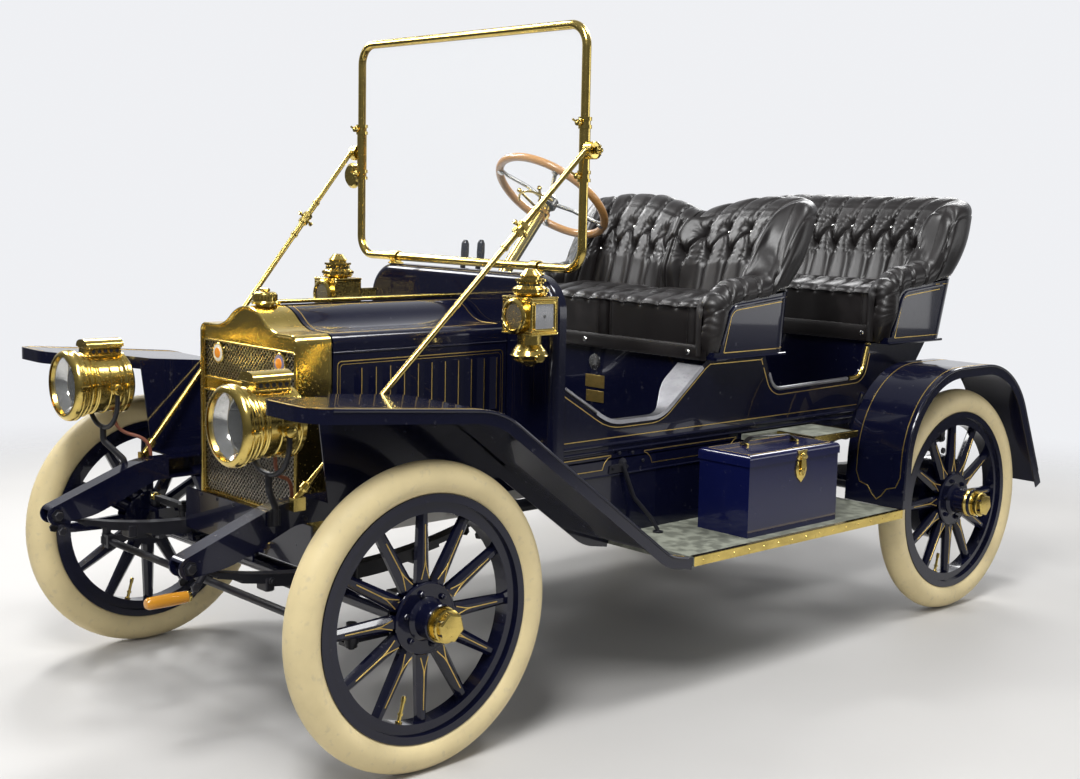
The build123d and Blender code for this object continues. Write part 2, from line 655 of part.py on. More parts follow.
def engine():
    """Engine and gearbox in one plain block at its real place."""
    front, rear = RAD_REAR_Y + 76, DASH_FRONT_Y - 50
    cylinders = block((-95, 95), (front, rear), (640, 985))
    crankcase = block((-170, 170), (front - 30, rear + 40), (470, 640))
    gearbox = block((-110, 110), (rear + 40, GEARBOX_REAR_Y), (480, 620))
    arms = [block((-RAIL_X + RAIL_W, RAIL_X - RAIL_W), (y - 25, y + 25), (600, 628))
            for y in (front + 20, rear - 180)]
    return cylinders.fuse(crankcase, gearbox, *arms)


def exhaust():
    """Exhaust pipe and silencer under the left side."""
    y = DASH_FRONT_Y - 110
    pipe = bent_rod([(96, y, 760), (205, y, 760), (205, y + 10, 520), (260, y + 160, 500), (260, 60, 500)],
                    [40, 40, 40], 19)
    silencer = rod((260, 50, 500), (260, 560, 500), 62)
    tail = rod((260, 560, 500), (260, 900, 500), 15)
    return silencer.fuse(pipe, tail)


# Radiator and bonnet

def bonnet_outline(inset, low_z):
    """Left half of the radiator's ogee section, moved in by an inset; points, then arcs."""
    half = RAD_HALF_W - inset
    top = SHOULDER_Z - inset
    peak = PEAK_Z - inset
    corner = max(SHOULDER_R - inset, 5)
    mid = (OGEE_X / 2, (top + peak) / 2)
    radius = (OGEE_X ** 2 + (peak - top) ** 2) / (4 * (peak - top))
    crown = RadiusArc((0, peak), mid, radius)
    dip = RadiusArc(mid, (OGEE_X, top), -radius)
    side = FilletPolyline((OGEE_X, top), (half, top), (half, low_z), radius=corner)
    return [crown, dip, side]


def ogee_block(inset, low_z, y0, y1):
    """The radiator section drawn out along Y."""
    half = bonnet_outline(inset, low_z)
    edges = []
    for part in half:
        edges += part.edges()
    bottom = Line((RAD_HALF_W - inset, low_z), (0, low_z))
    middle = Line((0, low_z), (0, PEAK_Z - inset))
    left = make_face([*edges, *bottom.edges(), *middle.edges()])
    solid = extrude(left, amount=y1 - y0)
    stood = Pos(0, y1, 0) * Rot(90, 0, 0) * solid
    return stood.fuse(mirror(stood, about=Plane.YZ))


def radiator_shell():
    """Brass shell with its stepped bottom tank, opened for the core, and the filler cap."""
    outer = ogee_block(0, RAD_BOTTOM, RAD_FRONT_Y, RAD_REAR_Y)
    core_room = block((-CORE_HALF_W, CORE_HALF_W), (RAD_FRONT_Y - 1, RAD_REAR_Y + 1), (CORE_BOTTOM, CORE_TOP))
    back_room = ogee_block(RAD_WALL, CORE_TOP, RAD_FRONT_Y + RAD_WALL + CORE_RECESS + CORE_T, RAD_REAR_Y + 1)
    neck = Pos(0, CAP_Y, (PEAK_Z + FILLER_TOP) / 2 - 5) * Cylinder(FILLER_R - 6, FILLER_TOP - PEAK_Z + 10)
    cap = Pos(0, CAP_Y, FILLER_TOP - 12) * Cylinder(FILLER_R, 24)
    bar = block((-CORE_HALF_W, CORE_HALF_W), (RAD_FRONT_Y + 2, RAD_FRONT_Y + CORE_RECESS), (858, 902))
    return (outer - core_room - back_room).fuse(neck, cap, bar)


def radiator_core():
    """Finned core behind the shell's opening."""
    return block((-CORE_HALF_W + 0.5, CORE_HALF_W - 0.5),
                 (RAD_FRONT_Y + CORE_RECESS, RAD_FRONT_Y + CORE_RECESS + CORE_T),
                 (CORE_BOTTOM + 0.5, CORE_TOP - 0.5))


def front_apron():
    """Sheet under the radiator between the rails, with the bearing of the starting handle."""
    front = (RAD_FRONT_Y - 12, RAD_FRONT_Y - 6)
    half = SPRING_X - SPRING_W / 2 - 19
    low_sheet = block((-half, half), front, (440, 560))
    tray = block((-260, 260), (RAD_FRONT_Y - 12, RAD_REAR_Y), (RAD_BOTTOM - 6, RAD_BOTTOM - 0.5))
    plate = block((-40, 40), front, (405, 470))
    bearing = rod((0, RAD_FRONT_Y - 60, CRANK_Z), (0, RAD_FRONT_Y + 20, CRANK_Z), 24)
    hole = rod((0, RAD_FRONT_Y - 61, CRANK_Z), (0, RAD_FRONT_Y + 21, CRANK_Z), CRANK_R + BORE_CLEAR)
    return low_sheet.fuse(tray, plate, bearing) - hole


def starting_crank():
    """Starting handle, hanging straight down."""
    bar = bent_rod([(0, RAD_FRONT_Y + 15, CRANK_Z), (0, CRANK_BEND_Y, CRANK_Z), (0, GRIP_Y0 + 12, GRIP_Z),
                    (0, GRIP_Y1 + 8, GRIP_Z)], 24, CRANK_R)
    grip = rod((0, GRIP_Y0, GRIP_Z), (0, GRIP_Y1, GRIP_Z), GRIP_R)
    return bar.fuse(grip)


def hood_top(side):
    """One side of the bonnet's top, from the ridge down to the seam."""
    outer = ogee_block(0, SEAM_Z - 20, HOOD_FRONT_Y, HOOD_REAR_Y)
    inner = ogee_block(HOOD_T, SEAM_Z - 21, HOOD_FRONT_Y - 1, HOOD_REAR_Y + 1)
    keep = block((HOOD_SPLIT, RAD_HALF_W + 1), (HOOD_FRONT_Y - 1, HOOD_REAR_Y + 1),
                 (SEAM_Z + SEAM_ROD_R + 0.5, PEAK_Z + 1))
    half = (outer - inner) & keep
    return half if side > 0 else mirror(half, about=Plane.YZ)


def hood_side(side):
    """Side flap of the bonnet with its hinge rod along the seam and a row of raised louvres."""
    x = RAD_HALF_W - HOOD_T / 2
    flap = block((RAD_HALF_W - HOOD_T, RAD_HALF_W), (HOOD_FRONT_Y, HOOD_REAR_Y), (HOOD_BOTTOM, SEAM_Z))
    seam = rod((x, HOOD_FRONT_Y, SEAM_Z), (x, HOOD_REAR_Y, SEAM_Z), SEAM_ROD_R)
    wedge = make_face(Polyline((RAD_HALF_W - 1, 0, LOUVRE_Z0), (RAD_HALF_W, LOUVRE_W, LOUVRE_Z0),
                               (RAD_HALF_W + LOUVRE_RISE, LOUVRE_W - 2, LOUVRE_Z0), close=True))
    louvre = extrude(wedge, amount=LOUVRE_Z1 - LOUVRE_Z0, dir=(0, 0, 1))
    louvres = [Pos(0, LOUVRE_Y0 + LOUVRE_PITCH * i - LOUVRE_W / 2, 0) * louvre for i in range(LOUVRES)]
    flap = flap.fuse(seam, *louvres)
    return flap if side > 0 else mirror(flap, about=Plane.YZ)


def hood_hinge():
    """Long brass hinge rod along the bonnet's ridge, held at the radiator and the dash."""
    bar = rod((0, RAD_REAR_Y - 14, HINGE_ROD_Z), (0, DASH_FRONT_Y - 0.5, HINGE_ROD_Z), HINGE_ROD_R)
    web = block((-2, 2), (RAD_REAR_Y - 14, RAD_REAR_Y - 2), (PEAK_Z, HINGE_ROD_Z))
    return bar.fuse(web)


# Dash, windscreen and lamps

def dash():
    """Wooden dash with a rounded front edge, standing on the frame."""
    panel = extrude(make_face(FilletPolyline((-DASH_HALF_W, 0, DASH_BOTTOM), (-DASH_HALF_W, 0, DASH_TOP),
                                             (DASH_HALF_W, 0, DASH_TOP), (DASH_HALF_W, 0, DASH_BOTTOM),
                                             radius=[8, DASH_CORNER_R, DASH_CORNER_R, 8], close=True)),
                    amount=DASH_REAR_Y - DASH_FRONT_Y, dir=(0, 1, 0))
    rim = panel.faces().sort_by(Axis.Y)[0].edges().filter_by(lambda e: e.center().Z > DASH_BOTTOM + 20)
    panel = fillet(rim, DASH_EDGE_R)
    dy, dz = column_direction()
    foot = (COLUMN_X, *COLUMN_FOOT)
    hole = rod(foot, (COLUMN_X, COLUMN_FOOT[0] + dy * 300, COLUMN_FOOT[1] + dz * 300), COLUMN_R + 1)
    return Pos(0, DASH_FRONT_Y, 0) * panel - hole


def windshield_frame():
    """Brass tube windscreen frame with its mid-height hinge sleeves and clamps on the dash."""
    y = SCREEN_Y
    w = SCREEN_HALF_W
    tube = bent_rod([(-w, y, SCREEN_LOW), (w, y, SCREEN_LOW), (w, y, SCREEN_HIGH), (-w, y, SCREEN_HIGH)],
                    SCREEN_CORNER_R, SCREEN_R, close=True)
    pieces = []
    for side in (-1, 1):
        pieces.append(rod((side * w, y, 1478), (side * w, y, 1648), SCREEN_R + 3))
        pieces.append(rod((side * (w - 4), y, STAY_TOP[2]), (side * (STAY_TOP[0] - 12), y, STAY_TOP[2]), 9))
        pieces.append(block((side * 340 - 14, side * 340 + 14), (y - 12, y + 12), (DASH_TOP, SCREEN_LOW)))
    return tube.fuse(*pieces) - windshield_glass()


def windshield_glass():
    """Single pane inside the frame tube."""
    inset = SCREEN_R - 4
    pane = extrude(make_face(FilletPolyline(*[(x, 0, z) for x, z in (
        (-SCREEN_HALF_W + inset, SCREEN_LOW + inset), (SCREEN_HALF_W - inset, SCREEN_LOW + inset),
        (SCREEN_HALF_W - inset, SCREEN_HIGH - inset), (-SCREEN_HALF_W + inset, SCREEN_HIGH - inset))],
        radius=SCREEN_CORNER_R - inset, close=True)), amount=GLASS_T, dir=(0, 1, 0))
    return Pos(0, SCREEN_Y - GLASS_T / 2, 0) * pane


def windshield_stays():
    """Long brass rods from the screen's hinges to the frame horns."""
    bar = rod(STAY_TOP, STAY_FOOT, STAY_R)
    boss = rod((STAY_TOP[0] - 12, SCREEN_Y, STAY_TOP[2]), (STAY_TOP[0] + 12, SCREEN_Y, STAY_TOP[2]), 22)
    lug = rod(STAY_TOP, (STAY_TOP[0], SCREEN_Y, STAY_TOP[2]), 9)
    foot = block((RAIL_X, RAIL_X + 20), (STAY_FOOT[1] - 8, STAY_FOOT[1] + 28),
                 (STAY_FOOT[2] - 24, STAY_FOOT[2] + 10))
    return both_sides(bar.fuse(boss, lug, foot))


def headlamps():
    """Two drum headlamps with a hollow bowl, a rounded chimney with vent holes, and side trunnions."""
    body = [(LAMP_BOWL_DEPTH, 0), (LAMP_BOWL_DEPTH, 36), (70, 62), (36, 78), (4, LAMP_RIM_R - 14),
            (-6, LAMP_RIM_R - 10), (-6, LAMP_RIM_R), (18, LAMP_RIM_R),
            (24, LAMP_RIM_R - 8), (44, LAMP_RIM_R - 8),
            (52, LAMP_BODY_R), (LAMP_LEN - 46, LAMP_BODY_R), (LAMP_LEN - 40, LAMP_BODY_R + 6),
            (LAMP_LEN - 22, LAMP_BODY_R + 6), (LAMP_LEN - 12, LAMP_BODY_R - 6),
            (LAMP_LEN, LAMP_BODY_R - 34),
            (LAMP_LEN, 0)]
    drum = Pos(LAMP_X, LAMP_Y, LAMP_Z) * Rot(0, 0, 90) * turned(body)
    stack = block((-CHIMNEY_HALF_W, CHIMNEY_HALF_W), (CHIMNEY_Y0, CHIMNEY_Y1), (LAMP_Z + 68, CHIMNEY_TOP))
    stack = fillet(stack.faces().sort_by(Axis.Z)[-1].edges().filter_by(Axis.Y), 20)
    for i in range(CHIMNEY_HOLES):
        y = CHIMNEY_Y0 + (i + 0.5) * (CHIMNEY_Y1 - CHIMNEY_Y0) / CHIMNEY_HOLES
        reach = CHIMNEY_HALF_W + 1
        stack -= rod((-reach, y, LAMP_Z + 97), (reach, y, LAMP_Z + 97), CHIMNEY_HOLE_R)
    reach = FORK_HALF - FORK_R - 0.5
    studs = rod((LAMP_X - reach, TRUNNION_Y, TRUNNION_Z), (LAMP_X + reach, TRUNNION_Y, TRUNNION_Z), 9)
    caps = [rod((LAMP_X + side * FORK_HALF, TRUNNION_Y, TRUNNION_Z - FORK_R - 1),
                (LAMP_X + side * FORK_HALF, TRUNNION_Y, TRUNNION_Z + 14), 11) for side in (-1, 1)]
    sockets = rod((LAMP_X - FORK_HALF, TRUNNION_Y, TRUNNION_Z),
                  (LAMP_X + FORK_HALF, TRUNNION_Y, TRUNNION_Z), 8)
    nipple = rod((NIPPLE[0], NIPPLE[1], LAMP_Z - LAMP_BODY_R + 12), NIPPLE, 4)
    return both_sides(drum.fuse(Pos(LAMP_X, 0, 0) * stack, studs, sockets, *caps, nipple))


def lamp_brackets():
    """Forked iron brackets that carry the headlamps on the frame horns."""
    x, y = LAMP_X, TRUNNION_Y
    high = TRUNNION_Z - FORK_R - 1.5
    low = LAMP_Z - LAMP_RIM_R - 30
    fork = bent_rod([(x - FORK_HALF, y, high), (x - FORK_HALF, y, low), (x + FORK_HALF, y, low),
                     (x + FORK_HALF, y, high)], FORK_HALF - 6, FORK_R)
    stem = bent_rod([(x, y, low), (x, y, low - 40), (FORK_FOOT[0], FORK_FOOT[1], 646), FORK_FOOT],
                    20, FORK_R + 2)
    foot = block((RAIL_X, FORK_FOOT[0]), (FORK_FOOT[1] - 16, FORK_FOOT[1] + 16),
                 (FORK_FOOT[2] - 4, FORK_FOOT[2] + 36))
    return both_sides(fork.fuse(stem, foot))


def hose_route():
    """Left gas hose, from the nipple under the lamp to the pipe on the rail, points chosen by hand."""
    shares = [(0, 0), (0, 0.13), (0.08, 0.315), (0.28, 0.45),
              (0.72, 0.55), (0.92, 0.685), (1, 0.87), (1, 1)]
    points = []
    for across, down in shares:
        ahead = [start + (end - start) * across for start, end in zip(NIPPLE[:2], HOSE_END[:2])]
        points.append((*ahead, NIPPLE[2] + (HOSE_END[2] - NIPPLE[2]) * down))
    return points


def hose(side):
    """Rubber gas hose of one headlamp: straight runs joined by arcs as large as they allow."""
    points = [Vector(side * x, y, z) for x, y, z in hose_route()]
    runs = [b - a for a, b in zip(points, points[1:])]
    radii = []
    for a, b in zip(runs, runs[1:]):
        radii.append(0.45 * min(a.length, b.length) / math.tan(math.radians(a.get_angle(b)) / 2))
    path = FilletPolyline(*points, radius=radii)
    tube = sweep(Plane(origin=path @ 0, z_dir=path % 0) * Circle(HOSE_R), path=path)
    print("hose radii", [round(r) for r in radii], "length", round(path.length),
          "volume ratio", round(tube.volume / (math.pi * HOSE_R ** 2 * path.length), 4))
    return tube


def side_lamps():
    """Square oil lamps with a round lens, a turned chimney above and a turned fount below."""
    x, y = SIDE_LAMP_X, SIDE_LAMP_Y
    w, d = SIDE_LAMP_HALF_W, SIDE_LAMP_HALF_D
    z0, z1 = SIDE_LAMP_Z0, SIDE_LAMP_Z1
    middle = (z0 + z1) / 2
    case = block((x - w, x + w), (y - d, y + d), (z0, z1))
    bezel = rod((x, y - d - 9, middle), (x, y, middle), SIDE_LENS_R)
    spout = [(z0 - 89, 0), (z0 - 89, 16), (z0 - 78, 38), (z0 - 60, 53), (z0 - 46, 46), (z0 - 30, 34),
             (z0, 34), (z1, 30), (z1 + 8, 48), (z1 + 24, 48), (z1 + 30, 38), (z1 + 42, 38),
             (z1 + 48, 28), (z1 + 62, 28),
             (z1 + 76, 15), (z1 + 76, 0)]
    column = Rot(0, -90, 0) * turned(spout)
    arm = block((x - w, DASH_HALF_W - DASH_EDGE_R), (y, DASH_FRONT_Y), (middle - 20, middle + 20))
    return both_sides(case.fuse(bezel, Pos(x, y, 0) * column, arm))


# Body and seats

def body_side_line():
    """Top of the tub's side from the dash back, with both doorways: (y, z) corners and their radii."""
    rows = [(BODY_FRONT_Y, 881, 0), (-262, 762, 170), (-40, 762, 120), (154, 913, 25),
            (180, SEAT_BASE_Z, 0),
            (455, SEAT_BASE_Z, 0), (512, 802, 60), (1008, 812, 50), (1042, SEAT_BASE_Z, 0),
            (1410, SEAT_BASE_Z, 0), (1340, 840, 0), (1250, 700, 60), (1180, BODY_FLOOR_Z, 0)]
    return [(y, z) for y, z, r in rows], [r for y, z, r in rows]


def body_shell():
    """Open tub: thin sides with both doorways, a floor and a curved tail."""
    corners, radii = body_side_line()
    outer = side_prism([(BODY_FRONT_Y, BODY_FLOOR_Z), *corners], [0, *radii], -BODY_HALF_W, BODY_HALF_W)
    room = side_plate([(BODY_FRONT_Y - 1, BODY_FLOOR_Z + FLOOR_T), (BODY_FRONT_Y - 1, 1000), (1386, 1000),
                       (1386, SEAT_BASE_Z), (1318, 846), (1228, 712), (1190, BODY_FLOOR_Z + FLOOR_T)],
                      -BODY_HALF_W + WALL, BODY_HALF_W - WALL)
    return outer - room


def tub_block(y0, backs, inset):
    """A seat's tub as one block moved in by an inset: three levels, rounded at the rear corners."""
    levels = [(SEAT_BASE_Z, SEAT_HALF_W, backs[0], SEAT_CORNER_R),
              (SEAT_KNEE_Z, SEAT_HALF_W, backs[1], SEAT_CORNER_R),
              (SEAT_HIGH_Z, SEAT_HIGH_HALF_W, backs[2], SEAT_HIGH_CORNER_R)]
    front = y0 - 2 * SEAT_HIGH_CORNER_R
    sections = []
    for z, half, back, corner in levels:
        depth = back - inset - front
        section = RectangleRounded(2 * (half - inset), depth, corner - inset)
        sections.append(Pos(0, front + depth / 2, z) * section)
    return loft(sections, ruled=True)


def panel_prism(panel, grow):
    """Everything behind a seat panel's front edge and under its top edge, grown by a gap."""
    (front_low, _), (front, corner_z), (rear, top) = panel
    corners = [(front_low - grow, SEAT_BASE_Z - grow), (front - grow, corner_z + grow), (rear, top + grow),
               (rear + 200, top + grow), (rear + 200, SEAT_BASE_Z - grow)]
    return side_prism(corners, [0, 50, 0, 0, 0], -600, 600)


def seat_shell(y0, backs, panel):
    """Painted lower part of a seat's tub, with its base board."""
    shell = (tub_block(y0, backs, 0) - tub_block(y0, backs, SEAT_SIDE_T)) & panel_prism(panel, 0)
    base = block((-SEAT_HALF_W, SEAT_HALF_W), (y0, backs[0]), (SEAT_BASE_Z, SEAT_BASE_Z + SEAT_BASE_T))
    return shell.fuse(base & tub_block(y0, backs, 0))


def seat_box(y0, y1):
    """Hollow box under a seat, open below, from its front to its rear."""
    side = BODY_HALF_W - WALL - 1
    high = SEAT_BASE_Z
    box = block((-side, side), (y0, y1), (BODY_FLOOR_Z + FLOOR_T, high))
    return box - block((-side + 18, side - 18), (y0 + 18, y1 - 18), (BODY_FLOOR_Z + FLOOR_T - 1, high - 10))


def seat_lining(y0, backs, panel, arm, wing, wing_radii):
    """Leather of a seat: padding inside the tub, the arm rolls, and the back rolled over above the panel."""
    deep = SEAT_SIDE_T + LINING_GAP + LINING_T
    low = SEAT_BASE_Z + SEAT_BASE_T + LINING_GAP
    padding = tub_block(y0, backs, 0) - tub_block(y0, backs, deep)
    (arm_front, _), (_, arm_z), (arm_rear, arm_top) = arm
    corners = [(arm_front, low), (arm_front, arm_z), *wing, (wing[-1][0], low)]
    padding &= side_prism(corners, [0, 0, *wing_radii, 0], -600, 600)
    roll = bent_rod([(ARM_ROLL_X, arm_front, low), (ARM_ROLL_X, arm_front + 3, arm_z),
                     (ARM_ROLL_X, arm_rear, arm_top)], 62, ARM_ROLL_R)
    whole = padding.fuse(roll, mirror(roll, about=Plane.YZ))
    panel_room = (tub_block(y0, backs, -2) - tub_block(y0, backs, SEAT_SIDE_T + LINING_GAP))
    return whole - (panel_room & panel_prism(panel, LINING_GAP))


def under_top(half_top):
    """Everything on the left under a seat back's top line, given as (x, z) corners."""
    corners = [(half_top[0][0], SEAT_BASE_Z), *half_top, (half_top[-1][0], SEAT_BASE_Z)]
    face = make_face(Polyline(*[(x, 0, z) for x, z in corners], close=True))
    return extrude(face, amount=REAR_TIP, dir=(0, 1, 0))


def cushion(x0, x1, y0, y1, top):
    """A seat cushion with a rounded top edge."""
    low = SEAT_BASE_Z + SEAT_BASE_T + LINING_GAP
    pad = block((x0, x1), (y0, y1), (low, top))
    return fillet(pad.faces().sort_by(Axis.Z)[-1].edges(), CUSHION_R)


def front_seat_body():
    """Seat box and painted tub of the front seat."""
    return seat_shell(FRONT_SEAT_Y0, FRONT_BACK_Y, FRONT_PANEL).fuse(seat_box(FRONT_SEAT_Y0 + 20, 450))


def front_cushions():
    """Two front seat cushions."""
    rear = FRONT_BACK_Y[0] - SEAT_SIDE_T - LINING_T - 3
    return both_sides(cushion(1, CUSHION_HALF_W, FRONT_SEAT_Y0 + 4, rear, CUSHION_TOP))


def front_backrests():
    """Leather of the divided front seat, dipped between its two backs."""
    lining = seat_lining(FRONT_SEAT_Y0, FRONT_BACK_Y, FRONT_PANEL, FRONT_ARM, FRONT_WING, FRONT_WING_R)
    return both_sides(lining & under_top(FRONT_TOP_HALF))


def rear_seat_body():
    """Seat box and painted tub of the rear seat."""
    return seat_shell(REAR_SEAT_Y0, REAR_BACK_Y, REAR_PANEL).fuse(seat_box(REAR_SEAT_Y0 + 10, 1186))


def rear_cushion():
    """One-piece rear seat cushion."""
    rear = REAR_BACK_Y[0] - SEAT_SIDE_T - LINING_T - 3
    return cushion(-CUSHION_HALF_W, CUSHION_HALF_W, REAR_SEAT_Y0 + 4, rear, CUSHION_TOP - 20)


def rear_backrest():
    """Leather of the rear seat."""
    lining = seat_lining(REAR_SEAT_Y0, REAR_BACK_Y, REAR_PANEL, REAR_ARM, REAR_WING, REAR_WING_R)
    half = under_top(REAR_TOP_HALF)
    return lining & half.fuse(mirror(half, about=Plane.YZ))


# Fenders, running boards and tool box

def front_fender_line():
    """Top of the front fender along its length, as (y, z) corners and their radii."""
    corners = [(FENDER_FRONT_Y, 953), (FRONT_Y + 184, 904), (BOARD_Y0 - 90, 433), (BOARD_Y0, BOARD_Z)]
    return corners, [250, 120]


def front_fender_plan(inset):
    """The front fender's outline from above, cut back round the headlamp, as a tall block."""
    x0, x1 = FENDER_FRONT_IN_X + inset, FENDER_OUT_X - inset
    front = FENDER_FRONT_Y + inset
    corners = [(x0, FRONT_Y - 109), (548 + inset, FRONT_Y - 164), (548 + inset, front + 50),
               (610, front), (x1, front),
               (x1, BOARD_Y0 + 1), (APRON_X + inset, BOARD_Y0 + 1), (APRON_X + inset, -720),
               (x0, FRONT_Y + 181)]
    radii = [20, 20, 60, 60, 70 - inset, 0.5, 0.5, 40, 40]
    face = make_face(FilletPolyline(*corners, radius=radii, close=True))
    return Pos(0, 0, BOARD_Z - 60) * extrude(face, amount=700)


def front_fenders():
    """Front fenders with rolled lips and the aprons down to the frame."""
    points, radii = front_fender_line()
    plan = front_fender_plan(0)
    top = sheet(points, radii, FENDER_T, APRON_X, FENDER_OUT_X) & plan
    lip = (sheet(points, radii, LIP_DEPTH, APRON_X, FENDER_OUT_X) & plan) - front_fender_plan(FENDER_T)
    apron = side_plate([(FRONT_Y - 145, 926), (FRONT_Y + 171, 902), (-690, RAIL_TOP + 16), (-690, RAIL_TOP),
                        (FRONT_Y - 109, RAIL_TOP)],
                       FENDER_FRONT_IN_X, FENDER_FRONT_IN_X + FENDER_T)
    foot = block((RAIL_X - 20, FENDER_FRONT_IN_X + FENDER_T), (FRONT_Y - 109, -690),
                 (RAIL_TOP, RAIL_TOP + FENDER_T))
    return both_sides(top.fuse(lip, apron, foot))


def rear_fender_line():
    """Top of the rear fender, as (y, z) corners and their radii."""
    return [(BOARD_Y1, BOARD_Z), (BOARD_Y1 + 20, 873), (REAR_Y + 269, 873), (REAR_TIP, 404)], [320, 300]


def rear_fenders():
    """Rear fenders with side lips and their stays."""
    points, radii = rear_fender_line()
    top = sheet(points, radii, FENDER_T, 560, FENDER_OUT_X)
    lip = sheet(points, radii, LIP_DEPTH, FENDER_OUT_X - FENDER_T, FENDER_OUT_X)
    stays = [bent_rod([(RAIL_X, y, RAIL_TOP - 38), (500, y, RAIL_TOP - 38), (566, y + lean, high)], 20, 8)
             for y, lean, high in ((REAR_Y + 379, -30, 700), (BOARD_Y1 + 88, -20, 780))]
    return both_sides(top.fuse(lip, *stays))


def splash_aprons():
    """Painted aprons between the running boards and the frame."""
    low = BOARD_Z - BOARD_T
    inner = APRON_X - APRON_T
    apron = side_plate([(-690, RAIL_TOP - 4), (BOARD_Y0 - 90, 415), (BOARD_Y0, low), (BOARD_Y1 - 12, low),
                        (BOARD_Y1 - 12, RAIL_TOP - 4)], inner, APRON_X)
    top = block((RAIL_X, APRON_X), (-690, BOARD_Y1 - 12), (RAIL_TOP - 8, RAIL_TOP - 4))
    return both_sides(apron.fuse(top))


def running_boards():
    """Running boards on their bent iron brackets, which hang from the frame."""
    low = BOARD_Z - BOARD_T
    board = block((APRON_X + 1, FENDER_OUT_X), (BOARD_Y0 + 2, BOARD_Y1 - 2), (low, BOARD_Z))
    irons = []
    for y in (BOARD_Y0 + 108, BOARD_Y1 - 192):
        irons.append(block((RAIL_X, FENDER_OUT_X - 40), (y - 16, y + 16), (low - 8, low)))
        irons.append(block((RAIL_X, RAIL_X + 8), (y - 16, y + 16), (low - 8, RAIL_TOP - 10)))
    return both_sides(board.fuse(*irons))


def rear_steps():
    """Step plate below each rear doorway, cut back beside the tool box, on two gussets from the apron."""
    y1 = BOX_Y1 + STEP_PAST_BOX
    corners = [(APRON_X, BOX_Y1 - 130), (STEP_NARROW_X, BOX_Y1 - 130), (STEP_NARROW_X, BOX_Y1 + 14),
               (STEP_OUT_X, BOX_Y1 + 14), (STEP_OUT_X, y1), (APRON_X, y1)]
    plate = extrude(make_face(Polyline(*corners, close=True)), amount=STEP_T)
    pieces = []
    for y in (BOX_Y1 + 50, y1 - 40):
        pieces.append(Pos(0, y, 0) * extrude(Plane.XZ * make_face(Polyline(
            (APRON_X, STEP_Z - 100), (APRON_X + 14, STEP_Z - 100), (STEP_OUT_X - 30, STEP_Z - STEP_T - 6),
            (STEP_OUT_X - 30, STEP_Z - STEP_T), (APRON_X, STEP_Z - STEP_T), close=True)), amount=8))
    return both_sides((Pos(0, 0, STEP_Z - STEP_T) * plate).fuse(*pieces))


def tool_box():
    """Open-topped tool box on the left running board."""
    high = BOX_TOP - BOX_LID_H - LID_GAP
    outer = block((BOX_IN_X, BOX_OUT_X), (BOX_Y0, BOX_Y1), (BOARD_Z, high))
    room = block((BOX_IN_X + BOX_WALL, BOX_OUT_X - BOX_WALL), (BOX_Y0 + BOX_WALL, BOX_Y1 - BOX_WALL),
                 (BOARD_Z + BOX_WALL, high + 1))
    return outer - room


def tool_box_lid():
    """Lid with a rounded edge, hinged along the inner side."""
    low = BOX_TOP - BOX_LID_H
    lid = block((BOX_IN_X - 4, BOX_OUT_X + 4), (BOX_Y0 - 4, BOX_Y1 + 4), (low, BOX_TOP))
    lid = fillet(lid.faces().sort_by(Axis.Z)[-1].edges(), 14)
    room = block((BOX_IN_X + 6, BOX_OUT_X - 6), (BOX_Y0 + 6, BOX_Y1 - 6), (low - 1, BOX_TOP - 16))
    x = BOX_IN_X - 2 - LID_HINGE_R
    barrel = rod((x, BOX_Y0 + 20, low), (x, BOX_Y1 - 20, low), LID_HINGE_R)
    web = block((x, BOX_IN_X), (BOX_Y0 + 20, BOX_Y1 - 20), (low, low + 4))
    return (lid - room).fuse(barrel, web)


# Steering column, wheel and levers

def column_direction():
    """Unit direction up the steering column, in Y and Z."""
    dy, dz = COLUMN_TOP[0] - COLUMN_FOOT[0], COLUMN_TOP[1] - COLUMN_FOOT[1]
    length = math.hypot(dy, dz)
    return dy / length, dz / length


def steering_column():
    """Brass column tube with its box on the frame."""
    dy, dz = column_direction()
    top = (COLUMN_X, COLUMN_TOP[0] - dy * 44, COLUMN_TOP[1] - dz * 44)
    foot = (COLUMN_X, COLUMN_FOOT[0] - dy * 60, COLUMN_FOOT[1] - dz * 60)
    tube = rod(foot, top, COLUMN_R)
    box = block((-RAIL_X + RAIL_W, -262), (DROP_Y - 60, DROP_Y + 36), (560, 660))
    box = box.fuse(block((-262, -185), (DROP_Y - 60, DROP_Y + 36), (560, 630)))
    shaft_z = DRAG_Z - 24 + DROP_ARM
    hole = rod((-DROP_X, DROP_Y, shaft_z), (-300, DROP_Y, shaft_z), 14 + BORE_CLEAR)
    return tube.fuse(box) - hole


def steering_wheel():
    """Wooden rim on four spokes, square to the column."""
    dy, dz = column_direction()
    plane = Plane(origin=(COLUMN_X, *COLUMN_TOP), x_dir=(1, 0, 0), z_dir=(0, dy, dz))
    ring = Torus(RING_R, RING_TUBE_R)
    hub = Pos(0, 0, -18) * Cylinder(26, 44)
    spokes = [Rot(0, 0, 45 + 90 * i) * Pos(RING_R / 2, 0, -6) * Box(RING_R, 16, 9) for i in range(4)]
    return plane * ring.fuse(hub, *spokes)


def hand_levers():
    """Gear and brake levers beside the driver, in a gate on the floor."""
    x, z = LEVER_X, BODY_FLOOR_Z + FLOOR_T
    pieces = [bent_rod([(x, y, z + 12), (x, y - 60, 1000), (x, y + lean, LEVER_TOP_Z)], 200, 9)
              for y, lean in ((-150, -30), (-90, -20))]
    return block((x - 25, x + 25), (-190, -50), (z, z + 30)).fuse(*pieces)


